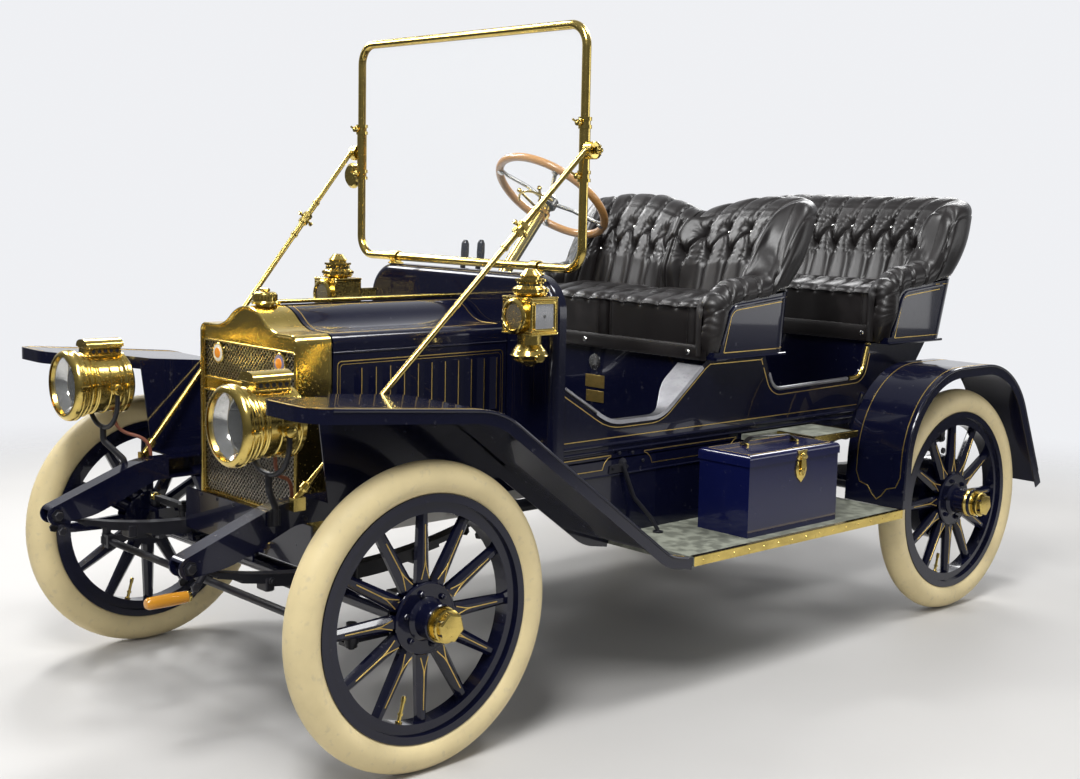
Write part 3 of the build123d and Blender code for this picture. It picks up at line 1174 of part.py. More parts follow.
NODES = {
    "frame": frame,
    "engine": engine,
    "exhaust": exhaust,
    "front_axle": front_axle,
    "front_springs": front_springs,
    "rear_axle": rear_axle,
    "rear_springs": rear_springs,
    "knuckle_left": lambda: knuckle(1),
    "knuckle_right": lambda: knuckle(-1),
    "tie_rod": tie_rod,
    "drag_link": drag_link,
    "drop_arm": drop_arm,
    "radiator_shell": radiator_shell,
    "radiator_core": radiator_core,
    "front_apron": front_apron,
    "starting_crank": starting_crank,
    "hood_left": lambda: hood_top(1),
    "hood_right": lambda: hood_top(-1),
    "hood_side_left": lambda: hood_side(1),
    "hood_side_right": lambda: hood_side(-1),
    "hood_hinge": hood_hinge,
    "dash": dash,
    "windshield_frame": windshield_frame,
    "windshield_glass": windshield_glass,
    "windshield_stays": windshield_stays,
    "headlamps": headlamps,
    "lamp_brackets": lamp_brackets,
    "hose_left": lambda: hose(1),
    "hose_right": lambda: hose(-1),
    "side_lamps": side_lamps,
    "body_shell": body_shell,
    "front_seat_body": front_seat_body,
    "front_cushions": front_cushions,
    "front_backrests": front_backrests,
    "rear_seat_body": rear_seat_body,
    "rear_cushion": rear_cushion,
    "rear_backrest": rear_backrest,
    "front_fenders": front_fenders,
    "rear_fenders": rear_fenders,
    "splash_aprons": splash_aprons,
    "running_boards": running_boards,
    "rear_steps": rear_steps,
    "tool_box": tool_box,
    "tool_box_lid": tool_box_lid,
    "steering_column": steering_column,
    "steering_wheel": steering_wheel,
    "hand_levers": hand_levers,
}

for end, y, cap_out, with_drum in (("front", FRONT_Y, FRONT_CAP_OUT, False),
                                   ("rear", REAR_Y, REAR_CAP_OUT, True)):
    turning = wheel(cap_out, with_drum)
    rubber = tyre()
    for side_name, side in (("left", 1), ("right", -1)):
        NODES[f"wheel_{end}_{side_name}"] = lambda p=turning, s=side, at=y: placed_wheel(p, s, at)
        NODES[f"tyre_{end}_{side_name}"] = lambda p=rubber, s=side, at=y: placed_wheel(p, s, at)

for node, make in NODES.items():
    export_step(Pos(0, -Y_MIDDLE, 0) * make(), f"parts/{node}.step")
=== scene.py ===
"""Looks of the brass era touring car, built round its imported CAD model."""
import math

import bmesh
import bpy
import numpy as np
from bpy.props import FloatProperty, FloatVectorProperty, PointerProperty
from bpy.types import Operator, Panel, PropertyGroup
from mathutils import Matrix, Vector
from mathutils.bvhtree import BVHTree


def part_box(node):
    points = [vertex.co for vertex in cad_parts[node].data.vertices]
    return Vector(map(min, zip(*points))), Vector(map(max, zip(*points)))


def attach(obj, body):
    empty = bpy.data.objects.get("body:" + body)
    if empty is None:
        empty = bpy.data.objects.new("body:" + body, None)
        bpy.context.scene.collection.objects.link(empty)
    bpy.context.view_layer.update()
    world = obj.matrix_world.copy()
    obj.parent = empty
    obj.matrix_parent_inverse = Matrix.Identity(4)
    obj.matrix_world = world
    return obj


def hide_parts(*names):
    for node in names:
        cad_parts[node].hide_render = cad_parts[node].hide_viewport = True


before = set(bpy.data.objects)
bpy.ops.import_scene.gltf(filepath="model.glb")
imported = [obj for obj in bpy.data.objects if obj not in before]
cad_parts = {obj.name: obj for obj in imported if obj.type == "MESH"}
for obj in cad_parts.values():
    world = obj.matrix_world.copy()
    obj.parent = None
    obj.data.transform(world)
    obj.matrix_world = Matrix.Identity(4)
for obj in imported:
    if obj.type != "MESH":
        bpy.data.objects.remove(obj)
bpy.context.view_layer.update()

bl_info = {
    "name": "Brass era touring car",
    "version": (1, 0, 0),
    "blender": (4, 5, 0),
    "location": "View3D > Sidebar > Touring car",
    "description": "Builds the paint, brass, leather and trim of a touring car round its CAD frame",
    "category": "Object",
}

MM = 0.001
# Directions, and places in the CAD source's millimetres; lines are dropped on surfaces from ABOVE or BESIDE.
UP, DOWN, FRONT, REAR, LEFT, RIGHT = (0, 0, 1), (0, 0, -1), (0, -1, 0), (0, 1, 0), (1, 0, 0), (-1, 0, 0)
SQUARE = ((-1, -1), (1, -1), (1, 1), (-1, 1))
ABOVE, BESIDE = 1500, 700
SPOKES = 12
AXLES = {"front": -1181, "rear": 1181}
AXLE_Z = 392
WHEEL_X = 711
LINE_RISE = 0.5
RADIATOR_FACE, RADIATOR_HALF = -1240, 252
BADGES_X, BADGES_Z = (-160, 160), 972
FILLER_Y, FILLER_Z = -1186, 1150
HEADLAMP = (447, -1561, 869)
SIDE_LAMP = (471, -621, 1101)
BODY_SIDE = 440
SCREEN_Y = -484
BOARD_EDGE = 795
STEERING_TOP, STEERING_FOOT = (-215, 84, 1430), (-215, -553, 650)
CRANK_Z, HANDLE_Z = 435, 330
# The CAD source counts Y from the middle of the wheelbase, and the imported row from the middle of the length.
Y_SHIFT = AXLES["front"] - sum(c.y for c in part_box("wheel_front_left")) / 2 / MM


def at(x, y, z):
    """A point given in the CAD source's millimetres, in the row's metres."""
    return Vector((x * MM, (y - Y_SHIFT) * MM, z * MM))


# Shader expressions

class Value:
    """A shader socket that takes arithmetic: each operation adds its Math node."""

    def __init__(self, finish, socket):
        self.finish = finish
        self.socket = socket

    def __add__(self, other):
        return self.finish.maths("ADD", self, other)

    __radd__ = __add__

    def __mul__(self, other):
        return self.finish.maths("MULTIPLY", self, other)

    __rmul__ = __mul__


class Finish:
    """A material and the few ways its nodes are made."""

    def __init__(self, name):
        self.material = bpy.data.materials.new(name)
        self.material.use_nodes = True
        self.tree = self.material.node_tree
        self.tree.nodes.clear()

    def node(self, kind, settings=None, sockets=None, out=0):
        """Adds a node, sets its settings, then its sockets' values or links."""
        node = self.tree.nodes.new(kind)
        for key, value in (settings or {}).items():
            setattr(node, key, value)
        for key, value in (sockets or {}).items():
            if isinstance(value, Value):
                self.tree.links.new(value.socket, node.inputs[key])
            else:
                node.inputs[key].default_value = value
        return Value(self, node.outputs[out]) if node.outputs else None

    def maths(self, operation, *values):
        return self.node("ShaderNodeMath", {"operation": operation}, dict(enumerate(values)))

    def place(self):
        """Where a point of the surface is, in metres of the row."""
        return self.node("ShaderNodeTexCoord", out="Object")

    def along(self, axis):
        return self.node("ShaderNodeSeparateXYZ", None, {0: self.place()}, axis)

    def noise(self, scale, detail, stretch=(1, 1, 1)):
        place = self.node("ShaderNodeMapping", None, {"Vector": self.place(), "Scale": stretch})
        return self.node("ShaderNodeTexNoise", None, {"Vector": place, "Scale": scale, "Detail": detail})

    def cells(self, scale):
        return self.node("ShaderNodeTexVoronoi", None, {"Vector": self.place(), "Scale": scale})

    def ramp(self, value, low, high):
        """Spreads the part of a value between two limits over 0 to 1."""
        return self.node("ShaderNodeMapRange", {"interpolation_type": "SMOOTHSTEP"},
                         {"Value": value, "From Min": low, "From Max": high})

    def mix(self, factor, first, second):
        colours = [c if isinstance(c, Value) else (*c, 1) for c in (first, second)]
        return self.node("ShaderNodeMix", {"data_type": "RGBA"}, {0: factor, 6: colours[0], 7: colours[1]}, 2)

    def bump(self, height, strength, depth=0.001):
        return self.node("ShaderNodeBump", None, {"Height": height, "Strength": strength, "Distance": depth})

    def surface(self, **sockets):
        """Ends the material in one Principled shader; underscores stand for the sockets' spaces."""
        named = {}
        for key, value in sockets.items():
            if key == "Base_Color" and not isinstance(value, Value):
                value = (*value, 1)
            named[key.replace("_", " ")] = value
        shader = self.node("ShaderNodeBsdfPrincipled", None, named)
        self.node("ShaderNodeOutputMaterial", None, {"Surface": shader})
        return self.material


def shade(colour, factor):
    """A colour made darker or lighter."""
    return tuple(min(c * factor, 1) for c in colour)


def coach_paint(name, colour, gloss=1.0):
    f = Finish(name)
    cloud = f.noise(3.5, 4)
    dust = f.ramp(f.noise(55, 6), 0.62, 0.78)
    tint = f.mix(cloud, shade(colour, 0.8), shade(colour, 1.25))
    colour = f.mix(dust * 0.06, tint, (0.30, 0.29, 0.28))
    return f.surface(Base_Color=colour, Roughness=0.13 + 0.10 * cloud + 0.15 * dust, Coat_Weight=0.55 * gloss,
                     Coat_Roughness=0.03, Specular_IOR_Level=0.22, Normal=f.bump(f.noise(38, 2), 0.012))


def brass(name, colour, rough=0.12):
    f = Finish(name)
    smear = f.noise(14, 5, (1, 1, 2.2))
    spots = f.ramp(f.noise(120, 4), 0.55, 0.75)
    tarnish = f.mix(f.ramp(smear, 0.35, 0.75), colour, shade(colour, 0.72))
    tint = f.mix(spots * 0.35, tarnish, shade(colour, 0.5))
    return f.surface(Base_Color=tint, Metallic=1.0, Roughness=rough + 0.14 * smear + 0.12 * spots,
                     Normal=f.bump(f.noise(420, 2, (1, 1, 0.2)), 0.03, 0.0004))


def leather(name, colour):
    f = Finish(name)
    grain = f.cells(520) + 0.6 * f.noise(900, 2)
    wear = f.ramp(f.noise(9, 4), 0.45, 0.75)
    tint = f.mix(wear, colour, shade(colour, 1.7))
    return f.surface(Base_Color=tint, Roughness=0.35 + 0.10 * wear + 0.06 * f.noise(70, 3),
                     Specular_IOR_Level=0.42, Coat_Weight=0.12, Coat_Roughness=0.24,
                     Normal=f.bump(grain, 0.02, 0.0004))


def cream_rubber(name, colour):
    f = Finish(name)
    blotch = f.ramp(f.noise(8, 5), 0.35, 0.7)
    grime = f.ramp(f.noise(46, 7), 0.56, 0.74)
    tint = f.mix(blotch, colour, shade(colour, 0.9))
    tint = f.mix(grime * 0.30, tint, (0.42, 0.36, 0.27))
    # painted shade: darker and browner in the lowest 35 mm, where the tyre meets the floor
    low = f.ramp(f.along("Z"), 0.035, 0.0)
    tint = f.mix(low * 0.35, tint, (0.33, 0.28, 0.22))
    return f.surface(Base_Color=tint, Roughness=0.48 + 0.18 * blotch,
                     Normal=f.bump(f.noise(160, 5) + 0.6 * f.noise(30, 3), 0.10, 0.0008))


def painted_iron(name, colour):
    f = Finish(name)
    cloud = f.noise(24, 5)
    chips = f.ramp(f.noise(95, 5), 0.66, 0.76)
    tint = f.mix(cloud, shade(colour, 0.7), shade(colour, 1.5))
    tint = f.mix(chips * 0.25, tint, (0.07, 0.055, 0.045))
    return f.surface(Base_Color=tint, Roughness=0.32 + 0.2 * cloud, Coat_Weight=0.12, Coat_Roughness=0.12,
                     Specular_IOR_Level=0.3, Normal=f.bump(f.noise(140, 4), 0.10, 0.0006))


def cast_metal(name, colour):
    f = Finish(name)
    cloud = f.noise(18, 6)
    oil = f.ramp(f.noise(7, 4), 0.5, 0.75)
    tint = f.mix(oil, colour, shade(colour, 0.35))
    return f.surface(Base_Color=tint, Metallic=0.85, Roughness=0.38 + 0.25 * cloud,
                     Normal=f.bump(f.noise(260, 6), 0.22, 0.0006))


def varnished_wood(name, colour):
    f = Finish(name)
    rings = f.noise(40, 5, (1, 1, 6))
    pores = f.ramp(f.noise(380, 3, (1, 1, 12)), 0.52, 0.7)
    tint = f.mix(rings, shade(colour, 0.7), shade(colour, 1.3))
    tint = f.mix(pores * 0.5, tint, shade(colour, 0.35))
    return f.surface(Base_Color=tint, Roughness=0.25 + 0.15 * rings, Coat_Weight=0.6, Coat_Roughness=0.08,
                     Normal=f.bump(pores, 0.06, 0.0004))


def board_covering(name, colour):
    f = Finish(name)
    marble = f.ramp(f.noise(26, 7), 0.4, 0.62)
    scuff = f.ramp(f.noise(6, 5, (1, 3, 1)), 0.55, 0.72)
    tint = f.mix(marble, shade(colour, 0.72), shade(colour, 1.25))
    tint = f.mix(scuff * 0.5, tint, shade(colour, 1.7))
    return f.surface(Base_Color=tint, Roughness=0.5 + 0.2 * marble,
                     Normal=f.bump(f.noise(300, 4), 0.12, 0.0005))


def clear_glass(name, colour, alpha):
    f = Finish(name)
    film = f.ramp(f.noise(3, 5), 0.35, 0.8)
    return f.surface(Base_Color=colour, Roughness=0.02 + 0.05 * film, IOR=1.45,
                     Alpha=alpha * (0.7 + 0.6 * film))


def hose_rubber(name, colour):
    f = Finish(name)
    cloud = f.noise(60, 4)
    tint = f.mix(cloud, shade(colour, 0.6), shade(colour, 1.4))
    return f.surface(Base_Color=tint, Roughness=0.45 + 0.2 * cloud,
                     Normal=f.bump(f.noise(900, 2), 0.15, 0.0003))


# Geometry

def turns(count, start=0.0):
    """The angles that part a full turn in equal steps."""
    return [2 * math.pi * (start + i) / count for i in range(count)]


def beside(line, i, closed=False):
    """The points before and after one of a line; an open line's end is its own neighbour."""
    before = line[i - 1] if closed or i else line[i]
    return before, line[(i + 1) % len(line)] if closed or i + 1 < len(line) else line[i]


def rounded(points, radii, step=12):
    """A line through points with its corners turned into arcs, 0 for a sharp one."""
    points = [Vector(p) for p in points]
    radii = [radii] * len(points) if isinstance(radii, (int, float)) else radii
    line = [points[0]]
    for before, corner, after, radius in zip(points, points[1:], points[2:], radii[1:]):
        a, b = (before - corner).normalized(), (after - corner).normalized()
        half = a.angle(b) / 2
        if radius == 0 or half > 1.56:
            line.append(corner)
            continue
        centre = corner + (a + b).normalized() * radius / math.sin(half)
        start = corner + a * radius / math.tan(half) - centre
        end = corner + b * radius / math.tan(half) - centre
        turn = start.angle(end)
        steps = max(2, math.ceil(math.degrees(turn) / step))
        for i in range(steps + 1):
            share = i / steps
            line.append(centre + (start * math.sin((1 - share) * turn) + end * math.sin(share * turn))
                        / math.sin(turn))
    return line + [points[-1]]


def ring(points, radius):
    """A closed line with rounded corners."""
    points = [Vector(p) for p in points]
    middle = (points[-1] + points[0]) / 2
    return rounded([middle, *points, middle], [0, *[radius] * len(points), 0])[1:]


class Form:
    """The faces of one piece, given in the CAD source's millimetres."""

    def __init__(self):
        self.points, self.faces, self.slots = [], [], []

    def grid(self, rows, slot=0, around=False, joined=False, capped=False):
        """Quads between rows of points; around closes each row, joined the last row to the first."""
        base, count = len(self.points), len(rows[0])
        faces = []
        for i in range(len(rows) - (not joined)):
            j = (i + 1) % len(rows)
            for k in range(count - (not around)):
                m = (k + 1) % count
                faces.append((i * count + k, i * count + m, j * count + m, j * count + k))
        if capped:
            last = (len(rows) - 1) * count
            faces += [tuple(reversed(range(count))), tuple(range(last, last + count))]
        self.points += [Vector(p) for row in rows for p in row]
        self.faces += [tuple(base + i for i in face) for face in faces]
        self.slots += [slot] * len(faces)

    def turned(self, profile, centre, axis, steps=32, slot=0):
        """Turns a profile of (along, radius) about an axis."""
        axis = Vector(axis).normalized()
        side = axis.orthogonal().normalized()
        other = axis.cross(side)
        rows = [[Vector(centre) + axis * along + (side * math.cos(t) + other * math.sin(t)) * radius
                 for t in turns(steps)] for along, radius in profile]
        self.grid(rows, slot, around=True)

    def tube(self, line, radius, sides=10, slot=0, closed=False):
        """A round bar along a line."""
        line = [Vector(p) for p in line]
        across = None
        rows = []
        for i, point in enumerate(line):
            behind, ahead = beside(line, i, closed)
            along = (ahead - behind).normalized()
            across = along.orthogonal() if across is None else across - along * across.dot(along)
            across.normalize()
            other = along.cross(across)
            rows.append([point + (across * math.cos(t) + other * math.sin(t)) * radius for t in turns(sides)])
        self.grid(rows, slot, around=True, joined=closed, capped=not closed)

    def strip(self, line, outward, width, rise=LINE_RISE, closed=False):
        """A fine raised line on a surface; outward is a direction, or one for each point."""
        line = [Vector(p) for p in line]
        rows = []
        for i, point in enumerate(line):
            up = Vector(outward[i] if isinstance(outward, list) else outward)
            behind, ahead = beside(line, i, closed)
            first, second = point - behind, ahead - point
            if first.length == 0:
                first = second
            if second.length == 0:
                second = first
            aside = (first.normalized() + second.normalized()).cross(up).normalized()
            aside *= width / 2 / max(0.35, abs(aside.dot(first.normalized().cross(up).normalized())))
            low, high = point + up * -0.3, point + up * rise
            rows.append([low - aside, high - aside * 0.8, high + aside * 0.8, low + aside])
        self.grid(rows, joined=closed)

    def box(self, low, high, bevel, slot=0):
        """A box with cut corners and edges."""
        rows = []
        for z, inset in ((low[2], bevel), (low[2] + bevel, 0), (high[2] - bevel, 0), (high[2], bevel)):
            x0, y0, x1, y1 = low[0] + inset, low[1] + inset, high[0] - inset, high[1] - inset
            rows.append([(x0 + bevel, y0, z), (x1 - bevel, y0, z), (x1, y0 + bevel, z), (x1, y1 - bevel, z),
                         (x1 - bevel, y1, z), (x0 + bevel, y1, z), (x0, y1 - bevel, z), (x0, y0 + bevel, z)])
        self.grid(rows, slot, around=True, capped=True)

    def plate(self, outline, move, inset=0):
        """A flat outline made solid by moving it, its far side drawn in by an inset."""
        outline, move = [Vector(p) for p in outline], Vector(move)
        middle = sum(outline, Vector()) / len(outline)
        far = []
        for p in outline:
            inward = middle - p
            far.append(p + move + inward.normalized() * min(inset, inward.length / 2))
        self.grid([outline, [p + move * 0.75 for p in outline], far], around=True, capped=True)

    def mirrored(self):
        """Adds the same faces on the other side of the car."""
        base = len(self.points)
        self.points += [Vector((-p.x, p.y, p.z)) for p in self.points]
        self.faces += [tuple(base + i for i in reversed(face)) for face in self.faces]
        self.slots += list(self.slots)
        return self

    def piece(self, name, finishes, slot, body="chassis", replaces=(), smooth=35):
        """Makes the object; its materials are given in the order of the faces' slots."""
        mesh = bpy.data.meshes.new(name)
        mesh.from_pydata([at(*p) for p in self.points], [], self.faces)
        mesh.polygons.foreach_set("material_index", self.slots)
        made = bmesh.new()
        made.from_mesh(mesh)
        bmesh.ops.remove_doubles(made, verts=made.verts, dist=0.00002)
        bmesh.ops.recalc_face_normals(made, faces=made.faces)
        made.to_mesh(mesh)
        made.free()
        mesh.polygons.foreach_set("use_smooth", [True] * len(mesh.polygons))
        mesh.set_sharp_from_angle(angle=math.radians(smooth))
        for finish in finishes:
            mesh.materials.append(bpy.data.materials[finish])
        piece = bpy.data.objects.new(name, mesh)
        bpy.context.scene.collection.objects.link(piece)
        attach(piece, body)
        if replaces:
            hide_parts(*replaces)
        return piece


class Skin:
    """The surface of a CAD node, to lay lines on; points are in the CAD source's millimetres."""

    def __init__(self, node):
        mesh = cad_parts[node].data
        points, faces = [v.co.copy() for v in mesh.vertices], [p.vertices[:] for p in mesh.polygons]
        self.tree = BVHTree.FromPolygons(points, faces)

    def hit(self, point, direction):
        """The first surface met from a point in a direction: its place and its outward direction."""
        direction = Vector(direction).normalized()
        place, normal, _, _ = self.tree.ray_cast(at(*point), direction)
        if place is None:
            return None
        if normal.dot(direction) > 0:
            normal = -normal
        return Vector((place.x / MM, place.y / MM + Y_SHIFT, place.z / MM)), normal

    def met(self, rays):
        """Where rays of (point, direction) meet the surface, and its directions; misses are left out."""
        found = [hit for hit in (self.hit(*ray) for ray in rays) if hit]
        return [place for place, _ in found], [normal for _, normal in found]

    def drape(self, points, direction):
        """Every point moved along a direction onto the surface."""
        return self.met([(p, direction) for p in points])


def fine(points, step):
    """A line cut into runs no longer than a step."""
    points = [Vector(p) for p in points]
    line = [points[0]]
    for a, b in zip(points, points[1:]):
        count = max(1, math.ceil((b - a).length / step))
        line += [a + (b - a) * i / count for i in range(1, count + 1)]
    return line


def ogee(inset, steps=9):
    """The radiator's section from its left foot over the peak to its right foot, as (x, z)."""
    half, low, top, peak = RADIATOR_HALF - inset, 525, 1054 - inset, 1116 - inset
    reach, corner = 170, 26 - inset
    radius = (reach ** 2 + (peak - top) ** 2) / (4 * (peak - top))
    turn = math.asin(reach / 2 / radius)
    crown = [(radius * math.sin(turn * i / steps), peak - radius * (1 - math.cos(turn * i / steps)))
             for i in range(steps + 1)]
    dip = [(reach - x, top + peak - z) for x, z in reversed(crown[:-1])]
    side = [tuple(p)[:2] for p in rounded([(reach, top, 0), (half, top, 0), (half, low, 0)], [0, corner, 0])]
    left = crown + dip + side[1:]
    return [(-x, z) for x, z in reversed(left)] + left[1:]


# What the user can change

def colour(name, description, default):
    return FloatVectorProperty(name=name, description=description, subtype="COLOR", default=default)


class CarColours(PropertyGroup):
    paint: colour("Coach paint", "Body, bonnet and fender colour", (0.0035, 0.0042, 0.016))
    gold: colour("Gold lines", "Colour of the fine gold lines", (0.74, 0.52, 0.16))
    brass: colour("Brass", "Polished brass of lamps, radiator and trim", (0.74, 0.56, 0.165))
    leather: colour("Leather", "Upholstery colour", (0.009, 0.0075, 0.0075))
    tyre: colour("Tyres", "Cream rubber of the tyres", (0.75, 0.62, 0.34))
    wood: colour("Wood", "Rim of the steering wheel", (0.50, 0.25, 0.075))
    covering: colour("Covering", "Covering of the running boards", (0.20, 0.21, 0.17))


class CarSizes(PropertyGroup):
    line_width: FloatProperty(name="Line width", description="Width of the gold lines", unit="LENGTH",
                              default=0.003, min=0.001, max=0.01)


NODE_FINISHES = {
    "coach paint": ["hood_left", "hood_right", "hood_side_left", "hood_side_right", "dash", "body_shell",
                    "front_seat_body", "rear_seat_body", "splash_aprons", "front_fenders",
                    "rear_fenders", "frame", "front_axle", "rear_axle", "front_apron", "wheel_front_left",
                    "wheel_front_right", "wheel_rear_left", "wheel_rear_right"],
    "box paint": ["tool_box", "tool_box_lid"],
    "painted iron": ["front_springs", "rear_springs", "knuckle_left", "knuckle_right", "tie_rod", "drag_link",
                     "drop_arm", "exhaust", "lamp_brackets", "starting_crank", "hand_levers"],
    "cast metal": ["engine"],
    "core metal": ["radiator_core"],
    "polished brass": ["radiator_shell", "hood_hinge", "windshield_frame", "windshield_stays", "headlamps",
                       "side_lamps", "steering_column"],
    "black leather": ["front_cushions", "front_backrests", "rear_cushion", "rear_backrest"],
    "cream rubber": ["tyre_front_left", "tyre_front_right", "tyre_rear_left", "tyre_rear_right"],
    "board covering": ["running_boards", "rear_steps"],
    "screen glass": ["windshield_glass"],
    "varnished wood": ["steering_wheel"],
}


class CAR_OT_finishes(Operator):
    """Make the materials and give them to the CAD pieces"""
    bl_idname = "car.finishes"
    bl_label = "Materials"

    def execute(self, context):
        c = context.scene.car_colours
        coach_paint("coach paint", tuple(c.paint))
        painted_iron("painted iron", (0.010, 0.010, 0.014))
        cast_metal("cast metal", (0.42, 0.41, 0.39))
        cast_metal("core metal", (0.02, 0.018, 0.016))
        brass("polished brass", tuple(c.brass))
        leather("black leather", tuple(c.leather))
        cream_rubber("cream rubber", tuple(c.tyre))
        board_covering("board covering", tuple(c.covering))
        clear_glass("screen glass", (0.75, 0.82, 0.82), 0.035)
        varnished_wood("varnished wood", tuple(c.wood))
        hose_rubber("hose rubber", (0.20, 0.06, 0.03))
        brass("steel", (0.62, 0.62, 0.60), 0.16)
        brass("aluminium", (0.34, 0.34, 0.36), 0.3)
        brass("silver", (0.70, 0.70, 0.68), 0.06)
        brass("gold line", tuple(c.gold), 0.30)
        brass("mesh metal", (0.56, 0.52, 0.45), 0.2)
        coach_paint("box paint", (0.004, 0.006, 0.045))
        coach_paint("cream enamel", (0.78, 0.74, 0.64))
        coach_paint("grey enamel", (0.22, 0.20, 0.30))
        coach_paint("orange enamel", (0.80, 0.27, 0.03))
        coach_paint("amber enamel", (0.62, 0.27, 0.025))
        # grey behind the side lamps' clear glasses: the glass's smoky tint together with painted shade of the
        # lamp's inside
        coach_paint("smoke tint and painted shade", (0.16, 0.16, 0.17))
        # near-black: painted shade in the headlamps' reflector bowls and in the lamps' vent holes; also the
        # small dark disc on each side lamp's pane
        coach_paint("dark glass and painted shade", (0.02, 0.02, 0.02), 1.3)
        clear_glass("lens glass", (0.85, 0.88, 0.88), 0.06)
        for finish, nodes in NODE_FINISHES.items():
            for node in nodes:
                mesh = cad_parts[node].data
                mesh.materials.clear()
                mesh.materials.append(bpy.data.materials[finish])
        return {"FINISHED"}


class CAR_OT_stage(Operator):
    """Make the pale floor, the soft lamps, the world and the camera"""
    bl_idname = "car.stage"
    bl_label = "Stage"

    def execute(self, context):
        self.camera(context)
        self.floor()
        self.lamps()
        self.world(context)
        context.scene.view_settings.view_transform = "Standard"
        return {"FINISHED"}

    def camera(self, context):
        """The photograph's camera, found from the wheels, the radiator and the screen."""
        turn, dip, roll = math.radians(-47.2), math.radians(6.7), math.radians(1.2)
        forward = Vector((math.cos(dip) * math.sin(turn), math.cos(dip) * math.cos(turn), -math.sin(dip)))
        right = Vector((math.cos(turn), -math.sin(turn), 0))
        up = right.cross(forward)
        across = right * math.cos(roll) + up * math.sin(roll)
        upright = up * math.cos(roll) - right * math.sin(roll)
        camera = bpy.data.objects.new("camera", bpy.data.cameras.new("camera"))
        context.scene.collection.objects.link(camera)
        turned = Matrix((across, upright, -forward)).transposed().to_4x4()
        camera.matrix_world = Matrix.Translation(at(3520, -3357, 1437.4)) @ turned
        camera.data.sensor_width = 36
        camera.data.lens = 48.94
        camera.data.shift_x, camera.data.shift_y = -0.0110, -0.0210
        context.scene.camera = camera

    def floor(self):
        f = Finish("stage floor")
        grain = f.noise(1.3, 4)
        tint = f.mix(grain, (0.50, 0.49, 0.475), (0.56, 0.55, 0.535))
        from_middle = f.node("ShaderNodeVectorMath", {"operation": "LENGTH"}, {0: f.place()}, 1)
        f.surface(Base_Color=tint, Roughness=0.45 + 0.15 * grain, Specular_IOR_Level=0.3,
                  Alpha=f.ramp(from_middle, 5.2, 2.9))
        made = bmesh.new()
        bmesh.ops.create_grid(made, x_segments=1, y_segments=1, size=20)
        mesh = bpy.data.meshes.new("floor")
        made.to_mesh(mesh)
        made.free()
        floor = bpy.data.objects.new("floor", mesh)
        mesh.materials.append(f.material)
        bpy.context.scene.collection.objects.link(floor)

    def lamps(self):
        """Large soft lamps: name, place, size and power."""
        aim = Vector((0, 0, 0.7))
        rows = [
            ("key", (2.4, -3.4, 4.4), (1.3, 1.3), 165),
            ("window", (-3.6, -2.2, 3.4), (1.6, 1.0), 85),
            ("ceiling_left", (-2.6, -1.4, 4.5), (0.8, 0.8), 75),
            ("ceiling_rear", (-4.0, 0.4, 3.7), (0.8, 0.8), 75),
            ("ceiling_front", (1.4, -2.2, 4.6), (0.8, 0.8), 60),
            ("side", (4.2, 4.4, 1.5), (3.0, 1.9), 38),
            ("top", (1.6, 1.2, 4.6), (1.2, 1.2), 90),
            ("back", (-1.5, 4.6, 3.8), (2.6, 1.2), 100),
        ]
        for name, place, (width, height), power in rows:
            lamp = bpy.data.objects.new(name, bpy.data.lights.new(name, "AREA"))
            lamp.data.shape = "RECTANGLE"
            lamp.data.size, lamp.data.size_y, lamp.data.energy = width, height, power
            lamp.location = place
            lamp.rotation_euler = (aim - lamp.location).to_track_quat("-Z", "Y").to_euler()
            lamp.visible_camera = False
            bpy.context.scene.collection.objects.link(lamp)

    def world(self, context):
        """A pale background for the camera, a dimmer one for light and for what is mirrored."""
        world = bpy.data.worlds.new("studio")
        world.use_nodes = True
        context.scene.world = world
        nodes, links = world.node_tree.nodes, world.node_tree.links
        path = nodes.new("ShaderNodeLightPath")

        def maths(operation, *values):
            node = nodes.new("ShaderNodeMath")
            node.operation = operation
            for socket, value in zip(node.inputs, values):
                if isinstance(value, (int, float)):
                    socket.default_value = value
                else:
                    links.new(value, socket)
            return node.outputs[0]

        def limited(value, *limits):
            node = nodes.new("ShaderNodeMapRange")
            for socket, limit in zip(("From Min", "From Max", "To Min", "To Max"), limits):
                node.inputs[socket].default_value = limit
            links.new(value, node.inputs["Value"])
            return node.outputs[0]

        # glossy rays see a pale sky that fades to a dim horizon, and the wall on the car's far side
        split = nodes.new("ShaderNodeSeparateXYZ")
        links.new(nodes.new("ShaderNodeTexCoord").outputs["Generated"], split.inputs[0])
        east, north, height = split.outputs
        toward = maths("ADD", maths("MULTIPLY", east, -0.68), maths("MULTIPLY", north, 0.73))
        glossy = path.outputs["Is Glossy Ray"]
        sky, wall = limited(height, -0.25, 0.9, 0.06, 0.30), limited(toward, 0.45, 0.98, 0.0, 0.75)
        seen = maths("MAXIMUM", path.outputs["Is Camera Ray"], path.outputs["Is Transmission Ray"])
        mirrored = maths("MULTIPLY", glossy, maths("ADD", sky, wall))
        strength = maths("MAXIMUM", maths("MULTIPLY", seen, 0.9), mirrored)
        soft = maths("MULTIPLY", maths("SUBTRACT", 1.0, glossy), 0.32)
        strength = maths("MAXIMUM", strength, soft)
        background = nodes["Background"]
        background.inputs["Color"].default_value = (0.96, 0.97, 1.0, 1)
        links.new(strength, background.inputs["Strength"])


# Wheels

